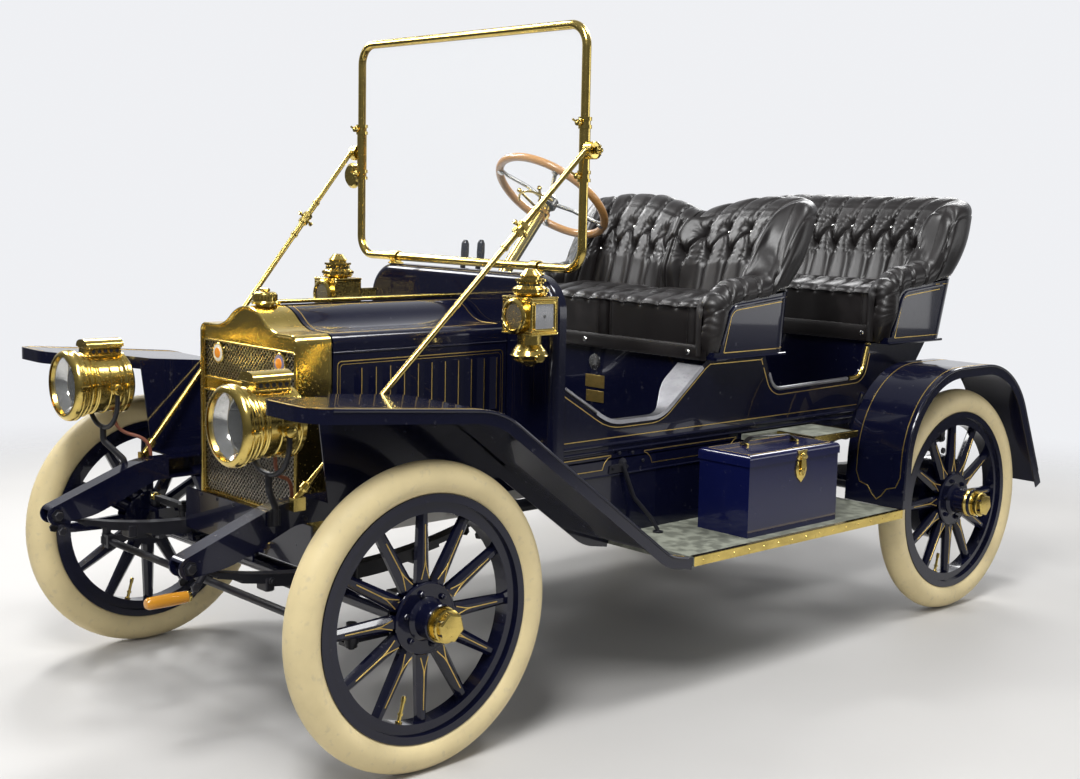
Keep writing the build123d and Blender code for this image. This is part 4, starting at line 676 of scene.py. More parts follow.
class CAR_OT_wheels(Operator):
    """Line the spokes and add the hub bolts, the brass caps and the tyre valves"""
    bl_idname = "car.wheels"
    bl_label = "Wheels"

    def execute(self, context):
        width = context.scene.car_sizes.line_width / MM
        for end, y in AXLES.items():
            for side, sign in (("left", 1), ("right", -1)):
                self.trim(end, side, Vector((sign * WHEEL_X, y, AXLE_Z)), sign, width)
        return {"FINISHED"}

    def trim(self, end, side, centre, sign, width):
        def spot(out, radius, turn):
            return centre + Vector((sign * out, radius * math.cos(turn), radius * math.sin(turn)))

        name, body = f"{end}_{side}", f"{end}_wheel_{side}"
        out = Vector((sign, 0, 0))
        lines = Form()
        for turn in turns(SPOKES):
            def on_spoke(radius, aside):
                across = Vector((0, -math.sin(turn), math.cos(turn)))
                return spot(17.2 - 3 * (radius - 91) / 180, radius, turn) + across * aside

            lines.strip(fine([on_spoke(150, 0), on_spoke(236, 0)], 30), out, width)
            for aside in (-1, 1):
                fork = ((150, 0), (132, 2), (112, 8), (99, 12))
                lines.strip([on_spoke(radius, aside * gap) for radius, gap in fork], out, width)
        lines.piece(f"wheel_lines_{name}", ["gold line"], "wheel_paint", body)

        iron = Form()
        for turn in turns(6, 0.5):
            place = spot(24, 68, turn + 0.26)
            iron.turned([(0, 10), (1.5, 10), (1.5, 8), (7, 8), (8.5, 6.5), (8.5, 0)], place, out, 6)
            iron.turned([(8, 4.6), (11, 4.6), (12, 3), (12, 0)], place, out, 10)
        # the steps of the turned hub barrel
        start = 106 if end == "rear" else 82
        iron.turned([(24, 56), (27, 56), (33, 50), (36, 46.2), (start - 10, 45.8), (start - 7, 48),
                     (start - 2, 48), (start + 1, 45.5)], centre, out, 40)
        iron.turned([(18, 92), (21, 92), (24.6, 88), (24.6, 84)], centre, out, 48)
        iron.piece(f"hub_trim_{name}", ["coach paint"], "wheel_paint", body)

        cap = Form()
        profile = [(0, 40), (0, 44), (4, 45.5), (9, 44), (9, 38), (20, 38), (22, 42), (27, 42), (29, 38),
                   (29, 0)]
        if end == "rear":
            profile = [(-20, 46.5), (-20, 50), (-15, 51), (-8, 49), (-6, 47.5)] + profile
        cap.turned(profile, centre + out * start, out, 40)
        cap.turned([(28, 39), (42, 38), (45, 33), (46.5, 20), (46.5, 0)], centre + out * start, out, 6)
        cap.piece(f"hub_cap_{name}", ["polished brass"], "wheel_paint", body, smooth=25)

        valve = Form()
        turn = math.radians(-105)
        inward = -Vector((0, math.cos(turn), math.sin(turn)))
        valve.turned([(-4, 9), (3, 9), (4, 5), (18, 5), (18, 7.5), (23, 7.5), (23, 4.6), (50, 4.6), (50, 6),
                      (64, 6), (66, 4), (66, 0)], spot(4, 264, turn), inward, 12)
        valve.piece(f"tyre_valve_{name}", ["polished brass"], "wheel_paint", body)


# Soft seats: each back is one buttoned sheet that runs round its tub and rolls over the edge. Its columns are
# counted 0 to 1 along the back, to 2 round the corner and to 3 along the arm; LENGTHS has their millimetres.
# A seat has its back's Y at the three LEVELS, the front end of its arm, and edges of (place, height).

LEVELS = (928, 1160, 1450)
LENGTHS = (0, 408, 583, 953)
PITCH = 108
PLAIN = 1.75
ROLL = 44.5
EASED = 150
DIAMOND_TOP = (1230, 1350)
DIAMOND_ROWS = (0.47, 0.69)
SEAT_LEVEL = 1085
PUFF_REACH = 78
SLANT = 0.22
ROWS_OF_BACK = (360, 150, 280)
ARM_DROP, ARM_REACH = 34, 62
BUTTON_DIMPLE, BUTTON_REACH = 17, 23
SEAM_DEPTH, SEAM_REACH = 11, 9
WELT, PIPING, SEAM = 3.2, 3.6, 2.0
CUSHION_CORNER, CUSHION_EDGE, CUSHION_CROWN, CUSHION_SLOPE = 38, 24, 20, 16
BUTTON = [(3.4, 0), (3.0, 3.375), (1.6, 6.375), (-2, 7.5), (-4, 7.5)]
FRONT_SEAT = {
    "backs": (528, 552, 716), "arm": 135, "split": True, "seams": (600, 705, 800, 880),
    "side": [(100, 1160), (395, 1186), (452, 1222), (512, 1372), (580, 1436), (900, 1436)],
    "top": [(0, 1374), (70, 1400), (230, 1434), (390, 1437), (470, 1424), (520, 1385)],
    "panel": [(134, 930), (156, 936), (190, 1068), (204, 1092), (228, 1105), (620, 1142), (900, 1142)],
}
REAR_SEAT = {
    "backs": (1456, 1521, 1664), "arm": 1061, "split": False, "seams": (590, 700, 800, 890),
    "side": [(1000, 1184), (1300, 1206), (1372, 1244), (1436, 1388), (1506, 1448), (1900, 1448)],
    "top": [(0, 1448), (380, 1448), (465, 1432), (520, 1388)],
    "panel": [(1060, 930), (1092, 936), (1130, 1084), (1144, 1108), (1170, 1122), (1600, 1163), (1900, 1163)],
}


def easy(value, low, high):
    """0 below a low limit, 1 above a high one, smooth between."""
    share = np.clip((value - low) / (high - low), 0, 1)
    return share * share * (3 - 2 * share)


def tub_point(column, z, inset, seat, arm_y):
    """Where a column of the tub is: 0 to 1 along the back, to 2 round its corner, to 3 along the arm."""
    half = np.interp(z, LEVELS, (498, 498, 512)) - inset
    lower, middle, upper = seat["backs"]
    bend = (upper - middle) / (LEVELS[2] - LEVELS[1]) - (middle - lower) / (LEVELS[1] - LEVELS[0])
    above = z - LEVELS[1]
    eased = np.clip(above + EASED, 0, 2 * EASED) ** 2 / (4 * EASED) - np.clip(above, 0, EASED)
    back = np.interp(z, LEVELS, seat["backs"]) + bend * eased * np.clip(inset / (2 * ROLL), 0, 1) - inset
    corner = np.maximum(np.interp(z, LEVELS, (90, 90, 130)) - inset, 70)
    turn = np.clip(column - 1, 0, 1) * math.pi / 2
    x = np.where(column < 1, (half - corner) * column, half - corner + corner * np.sin(turn))
    y = back - corner + corner * np.cos(turn)
    y = np.where(column > 2, y + (arm_y - y) * (column - 2), y)
    return x, y


def creases(along, z, low_row, high_row, pitch, diamonds):
    """Distance to the nearest crease: pleats below the low row, diamonds, pleats above the high row."""
    turn = along / pitch - np.floor(along / pitch)
    rise = np.clip((z - low_row) / np.maximum(high_row - low_row, 1), 0, 1) * diamonds
    left, right = 0.5 - 0.5 * rise, 0.5 + 0.5 * rise
    return np.minimum(np.minimum(abs(turn - left), abs(turn - right)),
                      np.minimum(abs(turn - left + 1), abs(turn - right - 1))) * pitch


def pillow(distance, reach, flat=2.4):
    """Height of stuffed leather between creases, from 0 in a crease to 1."""
    share = np.clip(distance / reach, 0, 1)
    return np.maximum(1 - (1 - share) ** flat, 0) ** 0.5


def spread(points):
    """Outward direction at each point of a grid of points."""
    down = np.gradient(points, axis=0)
    across = np.gradient(points, axis=1)
    normal = np.cross(across, down)
    return normal / np.maximum(np.linalg.norm(normal, axis=2, keepdims=True), 1e-6)


def seat_back(name, seat, node, step):
    """A whole back, from its left and its right half."""
    form = Form()
    for sign in (1, -1):
        half_back(form, seat, sign, step)
    piece = form.piece(name, ["black leather", "steel"], "leather", replaces=(node,), smooth=60)


def half_back(form, seat, sign, step):
    """One half of a back: a grid of columns round the tub and rows over the rolled edge."""
    arm_y = seat["arm"] + ROLL
    column = np.concatenate([np.linspace(i, i + 1, int(span / step), endpoint=i == 2)
                             for i, span in enumerate(np.diff(LENGTHS))])
    cap = np.linspace(0, math.pi / 2, 14)[1:]
    flat = len(column)
    column = np.concatenate([column, np.full(len(cap), 3.0)])
    shrink = np.concatenate([np.ones(flat), np.cos(cap)])
    forward = np.concatenate([np.zeros(flat), ROLL * np.sin(cap)])
    edge = np.full(len(column), 1300.0)
    for _ in range(8):
        x, y = tub_point(column, edge, ROLL, seat, arm_y)
        side = np.interp(y, *zip(*seat["side"]))
        edge = np.minimum(side, np.interp(x, *zip(*seat["top"])))
    wide = 9
    padded = np.concatenate([edge[wide:0:-1], edge, np.full(wide, edge[-1])])
    window = np.hanning(2 * wide + 1)
    edge = np.convolve(padded, window / window.sum(), "valid")
    # the edge is eased by a window, and the arm's front end turns down in a wide curve
    edge = edge - ARM_DROP * easy(arm_y + ARM_REACH - y, 0, ARM_REACH) * (column > 2)
    edge = edge - ROLL * (1 - shrink) * 0.9
    panel = np.interp(y - forward, *zip(*seat["panel"]))
    low = 1055 - 119 * easy(column, 2.2, 2.7)

    # rows up the inside, over the roll and down the outside, each with its height, inset and kind
    inner, roll, outer = (np.linspace(0, 1, int(span / step)) for span in ROWS_OF_BACK)
    rows = [(low + (edge - ROLL - low) * share, 2 * ROLL + 0 * edge, 0.0) for share in inner]
    rows += [(edge - ROLL + ROLL * math.sin(share * math.pi),
              ROLL + ROLL * math.cos(share * math.pi) + 0 * edge, share) for share in roll[1:]]
    fall = np.minimum(panel, edge - ROLL - 4) - edge + ROLL
    rows += [(edge - ROLL + fall * share, -3.0 + 7.5 * easy(share, 0.93, 1.0) + 0 * edge, 1.0 + share)
             for share in outer[1:]]
    z, inset = np.array([r[0] for r in rows]), np.array([r[1] for r in rows])
    kind = np.array([r[2] for r in rows])[:, None] + 0 * z
    inset = ROLL + (inset - ROLL) * shrink
    x, y = tub_point(column[None, :] + 0 * z, z, inset, seat, arm_y)
    points = np.stack([x, y - forward[None, :], z], axis=2)

    along = np.interp(column, (0, 1, 2, 3), LENGTHS)[None, :] + 0 * z
    tall = edge[None, :] + 0 * z
    diamonds = easy(tall, *DIAMOND_TOP)
    low_row, high_row = (SEAT_LEVEL + (tall - SEAT_LEVEL) * share for share in DIAMOND_ROWS)
    climb = np.cumsum(np.concatenate([np.zeros((1, z.shape[1])),
                                      np.linalg.norm(np.diff(points, axis=0), axis=2)]), axis=0)
    past = np.clip(climb - (high_row - low[None, :]), 0, None)
    slanted = along - sign * past * SLANT
    # pleats, one row of diamonds between the two rows of buttons, and plain leather round the corner
    distance = creases(slanted, z + 500 * (kind > 0), low_row, high_row, PITCH, diamonds)
    puff = np.exp(-((z - (low_row + high_row) / 2) / PUFF_REACH) ** 2) * (kind == 0) * diamonds
    tops = np.clip(kind, 0, 1)
    height = (15 + 18 * puff) * (1 - 0.2 * tops) * np.clip(2 - kind, 0, 1) ** 0.8
    plain = easy(column, PLAIN - 0.22, PLAIN)[None, :] * easy(kind, 0.0, 0.3)
    lift = height * pillow(distance, 40 + 12 * puff) * (1 - plain) + 8.5 * plain * np.clip(2 - kind, 0, 1)
    lift = lift + 16 * np.sin(np.clip(kind - 1, 0, 1) * math.pi) * np.clip(-fall / 160, 0, 1)[None, :]
    for place in seat["seams"]:
        gap = along - place - past * 0.25
        lift = lift - SEAM_DEPTH * np.exp(-(gap / SEAM_REACH) ** 2) * plain
    # folds gathered round the front of the arm
    gather = easy(column, 2.74, 2.92)[None, :] * easy(kind, 0.05, 0.3) * np.clip(2.0 - kind, 0, 1)
    turn = np.arctan2(z - (edge[flat - 1] - 95), (arm_y + 50) - points[:, :, 1])
    lift = lift + gather * (2.6 * np.abs(np.sin(turn * 12 + 0.6 * np.sin(climb / 23))) ** 0.7 - 1.6)
    if seat["split"]:
        lift = np.minimum(lift, 22 * pillow(along, 30))
        middle = 44 * np.exp(-(along / 70) ** 2) * (kind == 0)
        lift = lift + middle * easy(z, 1050, 1190) * (1 - easy(z, 1340, 1392))
    # each button pulls the leather in and makes folds round it
    spots = []
    for i in range(int(880 / PITCH) + 1):
        for row, place in ((low_row, (i + 0.5) * PITCH), (high_row, i * PITCH)):
            k = int(np.argmin(abs(along[0] - place)))
            if diamonds[0, k] < 0.6 or column[k] > 2.6 or (row is high_row and seat["split"] and i == 0):
                continue
            j = int(np.argmin(abs(z[:len(inner), k] - row[0, k])))
            aside, above = along - along[0, k], climb - climb[j, k]
            gap = np.sqrt(aside ** 2 + above ** 2)
            folds = np.cos(np.arctan2(above, aside) * 11 + place)
            lift = lift - BUTTON_DIMPLE * np.exp(-(gap / BUTTON_REACH) ** 2)
            lift = lift + 2.2 * folds * np.exp(-((gap - 30) / 14) ** 2)
            spots.append((j, k))
    normal = spread(points)
    if normal[len(inner) // 2, 5, 1] > 0:
        normal = -normal
    points = points + normal * (lift - 2.0)[:, :, None]
    points[:, 0, 0] = 0.0
    flip = np.array([sign, 1, 1])
    points, normal = points * flip, normal * flip
    form.grid([list(map(tuple, row)) for row in points.tolist()])
    for j, k in spots:
        if k or sign > 0:
            form.turned(BUTTON, points[j, k] + normal[j, k] * 1.5, normal[j, k], 14, 1)
    # welt and small tacks along the painted panel
    keep = range(0, flat + 8, 2)
    form.tube([(points[-1, i, 0], points[-1, i, 1], panel[i] + 2.5) for i in keep], WELT, 6)
    for i in keep:
        spot = points[-3, i] + normal[-3, i] * 0.4
        form.turned([(2.4, 0), (1.8, 1.6), (0, 2.4)], spot, normal[-3, i], 6, 1)


def cushion(name, low, high, mirror, node, step):
    """A box cushion with a quilted top and piped edges."""
    (x0, y0, z0), (x1, y1, z1) = low, high
    mid_x, mid_y = (x0 + x1) / 2, (y0 + y1) / 2
    half_x, half_y, corner, turn_r = (x1 - x0) / 2, (y1 - y0) / 2, CUSHION_CORNER, CUSHION_EDGE
    arc = np.linspace(0, math.pi / 2, 7)
    long_x = np.linspace(-1, 1, int(2 * (half_x - corner) / step))[1:-1]
    long_y = np.linspace(-1, 1, int(2 * (half_y - corner) / step))[1:-1]
    # each point of the outline: place of its corner centre (-1 to 1), and its direction from there
    rows = []
    for turn, (cx, cy) in enumerate(((1, 1), (-1, 1), (-1, -1), (1, -1))):
        start = turn * math.pi / 2
        rows += [(cx, cy, math.cos(start + t), math.sin(start + t)) for t in arc]
        straight = long_x if turn % 2 == 0 else long_y
        nx, ny = math.cos(start + math.pi / 2), math.sin(start + math.pi / 2)
        for s in straight:
            rows.append((-s * cx, cy, nx, ny) if turn % 2 == 0 else (cx, -s * cy, nx, ny))
    cx, cy, nx, ny = np.array(rows).T
    levels = [(z0, 14), (z0 + 5, 4), (z0 + 12, 0)]
    levels += [(z, 0) for z in np.linspace(z0 + 12, z1 - turn_r, int((z1 - z0 - 36) / step))[1:]]
    levels += [(z1 - turn_r + turn_r * math.sin(t), turn_r - turn_r * math.cos(t)) for t in arc[1:]]
    count = int((half_y - turn_r) / step)
    levels += [(z1, turn_r + (half_y - turn_r) * i / count) for i in range(1, count + 1)]
    points = []
    for z, inset in levels:
        r = max(corner - inset, 0.1)
        px = mid_x + cx * (half_x - inset - r) + nx * r
        py = mid_y + cy * (half_y - inset - r) + ny * r
        points.append(np.stack([px, py, np.full_like(px, z)], axis=1))
    points = np.array(points)
    x, y, z = points[:, :, 0], points[:, :, 1], points[:, :, 2]
    pitch = (x1 - x0) / round((x1 - x0) / 80)
    rear, front = y0 + (y1 - y0) * 0.66, y0 + (y1 - y0) * 0.30
    distance = creases(x - x0 + pitch / 2, y, front, rear, pitch, 1.0)
    on_top = easy(z, z1 - 22, z1 - 10)
    reach = np.minimum(np.minimum(x - x0, x1 - x), np.minimum(y - y0, y1 - y))
    dome = np.sqrt(np.clip(reach / half_y, 0, 1))
    slope = CUSHION_SLOPE * (y - y0) / (y1 - y0)
    lift = on_top * (18 * pillow(distance, 36, 2) - 12 + CUSHION_CROWN * dome + slope)
    lift = lift + (1 - on_top) * (2.5 * np.sin((z - z0) / (z1 - z0) * math.pi) + 0.8 * np.sin(x / 23) - 1)
    for i in range(round((x1 - x0) / pitch) + 1):
        for place, row in ((i * pitch, front), ((i + 0.5) * pitch, rear)):
            if 20 < place < x1 - x0 - 20:
                gap = (x - x0 - place) ** 2 + (y - row) ** 2 + 9 * (z1 - z) ** 2
                lift = lift - 5.5 * np.exp(-gap / 15 ** 2)
    normal = spread(points)
    if normal[len(levels) - 4, 10, 2] < 0:
        normal = -normal
    top_rows = points.shape[0] - count
    normal[top_rows:, :, :] = UP
    points = points + normal * lift[:, :, None]
    form = Form()
    form.grid([list(map(tuple, row)) for row in points.tolist()], around=True)
    edge_row = top_rows - 5
    for row in (2, edge_row):
        form.tube(points[row] + normal[row] * 2.0, PIPING, 6, closed=True)
    # doubled seams down the front corners of the boxing
    for aside in (1, -1):
        k = int(np.argmin(abs(nx - aside * 0.38) + abs(ny + 0.92) + (aside * cx < 0)))
        form.tube(points[2:edge_row + 1, k], SEAM, 6)
    if mirror:
        form.mirrored()
    piece = form.piece(name, ["black leather", "steel"], "leather", replaces=(node,), smooth=60)


class CAR_OT_seats(Operator):
    """Upholster both seats: buttoned backs and piped cushions"""
    bl_idname = "car.seats"
    bl_label = "Seats"

    def execute(self, context):
        step = 5.5
        seat_back("front_back_leather", FRONT_SEAT, "front_backrests", step)
        seat_back("rear_back_leather", REAR_SEAT, "rear_backrest", step)
        cushion("front_cushion_leather", (3, 142, 953), (403, 436, 1097), True, "front_cushions", step)
        cushion("rear_cushion_leather", (-403, 1082, 953), (403, 1364, 1114), False, "rear_cushion", step)
        return {"FINISHED"}


# Radiator, bonnet and lamps

class CAR_OT_radiator(Operator):
    """Dress the radiator: mesh, bead, badges, stepped foot and filler cap"""
    bl_idname = "car.radiator"
    bl_label = "Radiator"

    def execute(self, context):
        face = RADIATOR_FACE
        mesh = Form()
        half, low, high, pitch = 237.5, 566.5, 1007.5, 15
        for lean in (-1, 1):
            for i in range(int((2 * half + high - low) / pitch) + 1):
                start = i * pitch
                x0, z0 = (start, 0) if start <= 2 * half else (2 * half, start - 2 * half)
                x1, z1 = (0, start) if start <= high - low else (start - high + low, high - low)
                ends = [Vector((lean * (x - half), face + 7, low + z)) for x, z in ((x0, z0), (x1, z1))]
                if (ends[0] - ends[1]).length > 4:
                    mesh.strip(ends, FRONT, 2.6 - 0.8 * lean, 1.8 - 0.7 * lean)
        mesh.piece("radiator_mesh", ["mesh metal"], "core_metal", smooth=20)

        trim = Form()
        outline = ogee(5)
        trim.tube([(x, face - 1.5, z) for x, z in outline], 5.5, 10)
        window = [(-236, 1006), (236, 1006), (236, 568), (-236, 568)]
        trim.tube(ring([(x, face - 0.5, z) for x, z in window], 6), 3, 8, closed=True)
        # the mesh's two bars, and the steps of the foot
        for z, half, r in ((862, 236, 2.4), (898, 236, 2.4), (560, 248, 3), (549, 248, 2.2), (536, 248, 2.2),
                           (528, 248, 4)):
            trim.tube([(-half, face - 1, z), (half, face - 1, z)], r, 8)
        for x in BADGES_X:
            place = (x, face + 4, BADGES_Z)
            trim.turned([(0, 30), (4, 30), (6, 27.5), (6, 25), (3, 24.5)], place, FRONT, 32)
        # the filler cap with its ribs and wings
        y, top = FILLER_Y, FILLER_Z
        trim.turned([(-30, 36), (-26, 38), (-22, 36), (-22, 33), (-2, 33), (1, 31), (3, 26), (4, 12), (4, 0)],
                    (0, y, top), UP, 36)
        for turn in turns(24):
            rib = Vector((33 * math.cos(turn), y + 33 * math.sin(turn), top - 20))
            trim.tube([rib, rib + Vector((0, 0, 16))], 2.2, 6)
        trim.tube([(-20, y, top + 9), (20, y, top + 9)], 5, 10)
        trim.box((-6, y - 5, top + 2), (6, y + 5, top + 10), 2)
        trim.piece("radiator_trim", ["polished brass"], "brass")

        badges = Form()
        for i, x in enumerate(BADGES_X):
            place = (x, face + 4, BADGES_Z)
            badges.turned([(2, 27), (5.2, 26.5), (6.6, 12), (6.6, 0)], place, FRONT, 32, 2 * i)
            badges.turned([(6.4, 15), (8, 14), (9, 7), (9, 0)], place, FRONT, 24, 1)
        badges.piece("radiator_badges", ["cream enamel", "orange enamel", "grey enamel"], "brass")
        return {"FINISHED"}


class CAR_OT_bonnet(Operator):
    """Line the bonnet and the louvres and add the handles of the side flaps"""
    bl_idname = "car.bonnet"
    bl_label = "Bonnet"

    def execute(self, context):
        width = context.scene.car_sizes.line_width / MM
        front, rear, above = -1130, -516, 1300
        for side, sign in (("left", 1), ("right", -1)):
            out = Vector((sign, 0, 0))
            wall = sign * RADIATOR_HALF
            flap = Form()
            for gap, wide in ((14, width), (22, width * 0.6)):
                y0, y1, z0, z1 = front + gap, rear - gap, 648 + gap, 992 - gap
                corners = [(wall, y0, z0), (wall, y0, z1), (wall, y1, z1), (wall, y1, z0)]
                flap.strip(ring(corners, 12), out, wide, closed=True)
            louvre_lines = Form()
            for i in range(11):
                y = front + 87.6 + 48.3 * i
                for x, gap, wide, rise in ((260, 0, width * 0.9, 0.7), (252.2, 3.4, 1.2, LINE_RISE)):
                    line = [(sign * x, y + gap, 806), (sign * x, y + gap, 958)]
                    louvre_lines.strip(line, out, wide, rise)
            flap.piece(f"bonnet_lines_{side}", ["gold line"], "body_paint", f"hood_side_{side}")
            louvre_lines.piece(f"louvre_lines_{side}", ["gold line"], "body_paint", f"hood_side_{side}")

            handle = Form()
            for y in (front + 150, rear - 150):
                line = [(sign * x, y + dy, 690) for x, dy in ((252, -40), (274, -40), (274, 40), (252, 40))]
                handle.tube(rounded(line, 12), 4, 8)
                for end in (-40, 40):
                    handle.turned([(0, 11), (2.5, 11), (4, 7), (4, 0)], (sign * 251.5, y + end, 690), out, 16)
            handle.piece(f"bonnet_handles_{side}", ["polished brass"], "brass", f"hood_side_{side}")

            top = Form()
            skin = Skin(f"hood_{side}")
            for x in (226, 30):
                line = fine([(sign * x, front + 16, above), (sign * x, rear - 16, above)], 60)
                top.strip(*skin.drape(line, DOWN), width)
            for y in (front + 16, rear - 16):
                top.strip(*skin.drape([(sign * x, y, above) for x in range(30, 228, 7)], DOWN), width)
            top.piece(f"bonnet_top_lines_{side}", ["gold line"], "body_paint", f"hood_{side}")
        return {"FINISHED"}


class CAR_OT_lamps(Operator):
    """Fit the headlamps' reflectors, glasses, rims and knobs and the side lamps' glasses and tiers"""
    bl_idname = "car.lamp_trim"
    bl_label = "Lamps"

    def execute(self, context):
        x, y, z = HEADLAMP
        silver, glass, trim = Form(), Form(), Form()
        mid = Vector(HEADLAMP)
        silver.turned([(31, 58), (26, 60), (20, 66), (12, 75), (5, 83)], mid, REAR, 56)
        # the reflector's deep bowl is near-black: painted shade where a silvered mirror would be
        silver.turned([(94, 0), (92, 20), (84, 38), (62, 50), (31, 58)], mid, REAR, 56, 1)
        silver.turned([(52, 0), (52, 5), (54, 6), (66, 6), (68, 3), (94, 3)], (x, y, z - 6), REAR, 12, 2)
        silver.tube([(x, y + 60, z - 62), (x, y + 60, z - 8)], 4, 8, 2)
        for aside in (-10, 10):
            line = [(x, y + 60, z - 16), (x + aside, y + 60, z - 8), (x + aside, y + 60, z + 8)]
            silver.tube(rounded(line, 4), 2.4, 8, 2)
        glass.turned([(-1.5, 0), (-1.0, 50), (0.5, 84), (2.5, 84), (1.5, 50), (1.0, 0)], mid, REAR, 48)
        trim.turned([(-13, 84), (-13, 88), (-10, 95), (-4, 100), (4, 101.5), (6, 99), (9, 99), (11, 101.5),
                     (16, 101.5), (19, 98.3)], mid, REAR, 56)
        for along, radius in ((30, 92.5), (40, 92.5), (58, 86.5), (64, 86.5), (98, 86.5), (128, 86.5),
                              (150, 92)):
            trim.turned([(-2.6, radius - 2.4), (0, radius), (2.6, radius - 2.4)], (x, y + along, z), REAR, 56)
        trim.turned([(176, 66), (180, 60), (184, 40), (188, 38), (190, 20), (196, 14), (202, 12), (203, 0)],
                    mid, REAR, 32)
        # catch and hinge of the glass rim, and knobs at the trunnions
        trim.box((x - 106, y - 2, z - 9), (x - 96, y + 24, z + 9), 2)
        trim.turned([(0, 4), (10, 4), (10, 9), (16, 9), (17, 6), (17, 0)], (x + 99, y + 9, z - 4), LEFT, 16)
        for aside in (-1, 1):
            trim.turned([(0, 17), (3, 17), (5, 12), (14, 12), (16, 15), (22, 15), (24, 11), (24, 0)],
                        (x + aside * 84, -1452, 859), (aside, 0, 0), 20)
        # tiers and vents of the chimney
        for low, grow in ((84, 3), (106, 2.5), (114, -4)):
            self.tier(trim, (x, y + 103, z + low), 33 + grow, 49 + grow, 8, 2.6)
        shares = [math.pi * i / 14 for i in range(15)]
        vault = [(x + 36 * math.cos(t), y + 47, z + 108 + 22 * math.sin(t) ** 0.8) for t in shares]
        trim.plate(vault, (0, 112, 0))
        # vent holes as dark discs in bright rims: painted shade in the holes
        for aside in (-1, 1):
            for i in range(5):
                spot = (x + aside * 32.6, y + 67 + 18 * i, z + 97)
                silver.turned([(0, 6.5), (1.5, 6.2), (1.5, 0)], spot, (aside, 0, 0), 14, 1)
                trim.turned([(0, 8.2), (2.2, 7.6), (2.2, 6)], spot, (aside, 0, 0), 14)
        finishes = ["silver", "dark glass and painted shade", "painted iron"]
        silver.mirrored().piece("headlamp_reflectors", finishes, "brass")
        glass.mirrored().piece("headlamp_glasses", ["lens glass"], "glass")
        trim.mirrored().piece("headlamp_trim", ["polished brass"], "brass")
        self.side_lamps()
        return {"FINISHED"}

    def tier(self, form, centre, half_x, half_y, corner, radius):
        """A bead round an upright box."""
        x, y, z = centre
        corners = [(x + a * half_x, y + b * half_y, z) for a, b in SQUARE]
        form.tube(ring(corners, corner), radius, 8, closed=True)

    def side_lamps(self):
        x, y, z = SIDE_LAMP
        front = (x, y - 56, z)
        trim, glass, inside = Form(), Form(), Form()
        trim.turned([(0, 46.5), (2, 49.5), (6, 49.5), (9, 46), (11, 40), (8, 37.5), (4, 37)], front,
                    FRONT, 40)
        glass.turned([(3, 37.5), (8, 30), (11, 18), (12, 0)], front, FRONT, 36)
        # grey disc and plate behind the glasses: smoky tint together with painted shade of the lamp's inside
        inside.turned([(1, 37.5), (2, 0)], front, FRONT, 36)
        inside.turned([(0, 5), (1.2, 4), (1.2, 0)], (x + 61.4, y, z), LEFT, 12, 1)
        half = 37
        corners = [Vector((x + 60, y + a * half, z + b * half)) for a, b in SQUARE]
        trim.tube(ring(corners, 8), 3.2, 8, closed=True)
        glass.plate(corners, (1.5, 0, 0))
        inside.plate([p - Vector((0.6, 0, 0)) for p in corners], (0.4, 0, 0))
        for a, b in SQUARE:
            post = (x + a * 57.5, y + b * 47.5)
            trim.tube([(*post, z - 51), (*post, z + 51)], 3.4, 8)
        for rise, grow in ((-50, 2), (50, 2), (-43, 0.5), (43, 0.5)):
            self.tier(trim, (x, y, z + rise), 59 + grow, 49 + grow, 5, 3)
        # chimney tiers with holes, and the fount below
        for height, r in ((1158, 45), (1163, 49.5), (1176, 49.5), (1181, 42), (1192, 40), (1199, 32),
                          (1213, 30), (1222, 20), (1003, 46.5), (989, 54), (976, 44), (967, 24)):
            trim.turned([(-2, r - 2), (0, r), (2, r - 2)], (x, y, height), UP, 40)
        # the chimney's holes as dark discs: painted shade in the holes
        for turn in turns(14):
            place = (x + 38.2 * math.cos(turn), y + 38.2 * math.sin(turn), 1187)
            inside.turned([(0, 3.2), (0.8, 3.0), (0.8, 0)], place, (math.cos(turn), math.sin(turn), 0), 10, 1)
        for height, r, thick in ((1168, 50, 7), (1196, 41, 6)):
            wavy = [(t, r + 2.4 * math.cos(16 * t)) for t in turns(96)]
            outline = [(x + out * math.cos(t), y + out * math.sin(t), height) for t, out in wavy]
            trim.plate(outline, (0, 0, thick))
        trim.turned([(0, 17), (3, 18), (6, 15), (8, 0)], (x, y, 1224), UP, 24)
        trim.turned([(0, 14), (2, 13), (4, 8), (5, 0)], (x, y, 961), DOWN, 20)
        trim.turned([(0, 10), (4, 10), (5, 6), (12, 6), (12, 11), (18, 11), (19, 0)], (x + 46, y - 10, 985),
                    (1, -0.2, 0), 16)
        trim.mirrored().piece("side_lamp_trim", ["polished brass"], "brass")
        glass.mirrored().piece("side_lamp_glasses", ["lens glass"], "glass")
        inside.mirrored().piece("side_lamp_insides", ["smoke tint and painted shade", "dark glass and painted shade"], "brass")


# Body, fenders, boards and controls

DOORWAYS = [(-460, 881, 0), (-262, 762, 170), (-40, 762, 120), (154, 913, 25), (180, 928, 0),
            (455, 928, 0), (512, 802, 60), (1008, 812, 50), (1042, 928, 0)]


def doorway(x, first, last, lower=0):
    """Part of the tub's top line, lowered by an amount, as points on a plane of X."""
    points = rounded([(x, y, z) for y, z, r in DOORWAYS], [r for y, z, r in DOORWAYS], 8)
    line = [p for p in fine(points, 12) if first <= p.y <= last]
    if not lower:
        return line
    moved = []
    for i, p in enumerate(line):
        before, after = beside(line, i)
        along = (after - before).normalized()
        moved.append(p - Vector((0, -along.z, along.y)) * lower)
    return moved


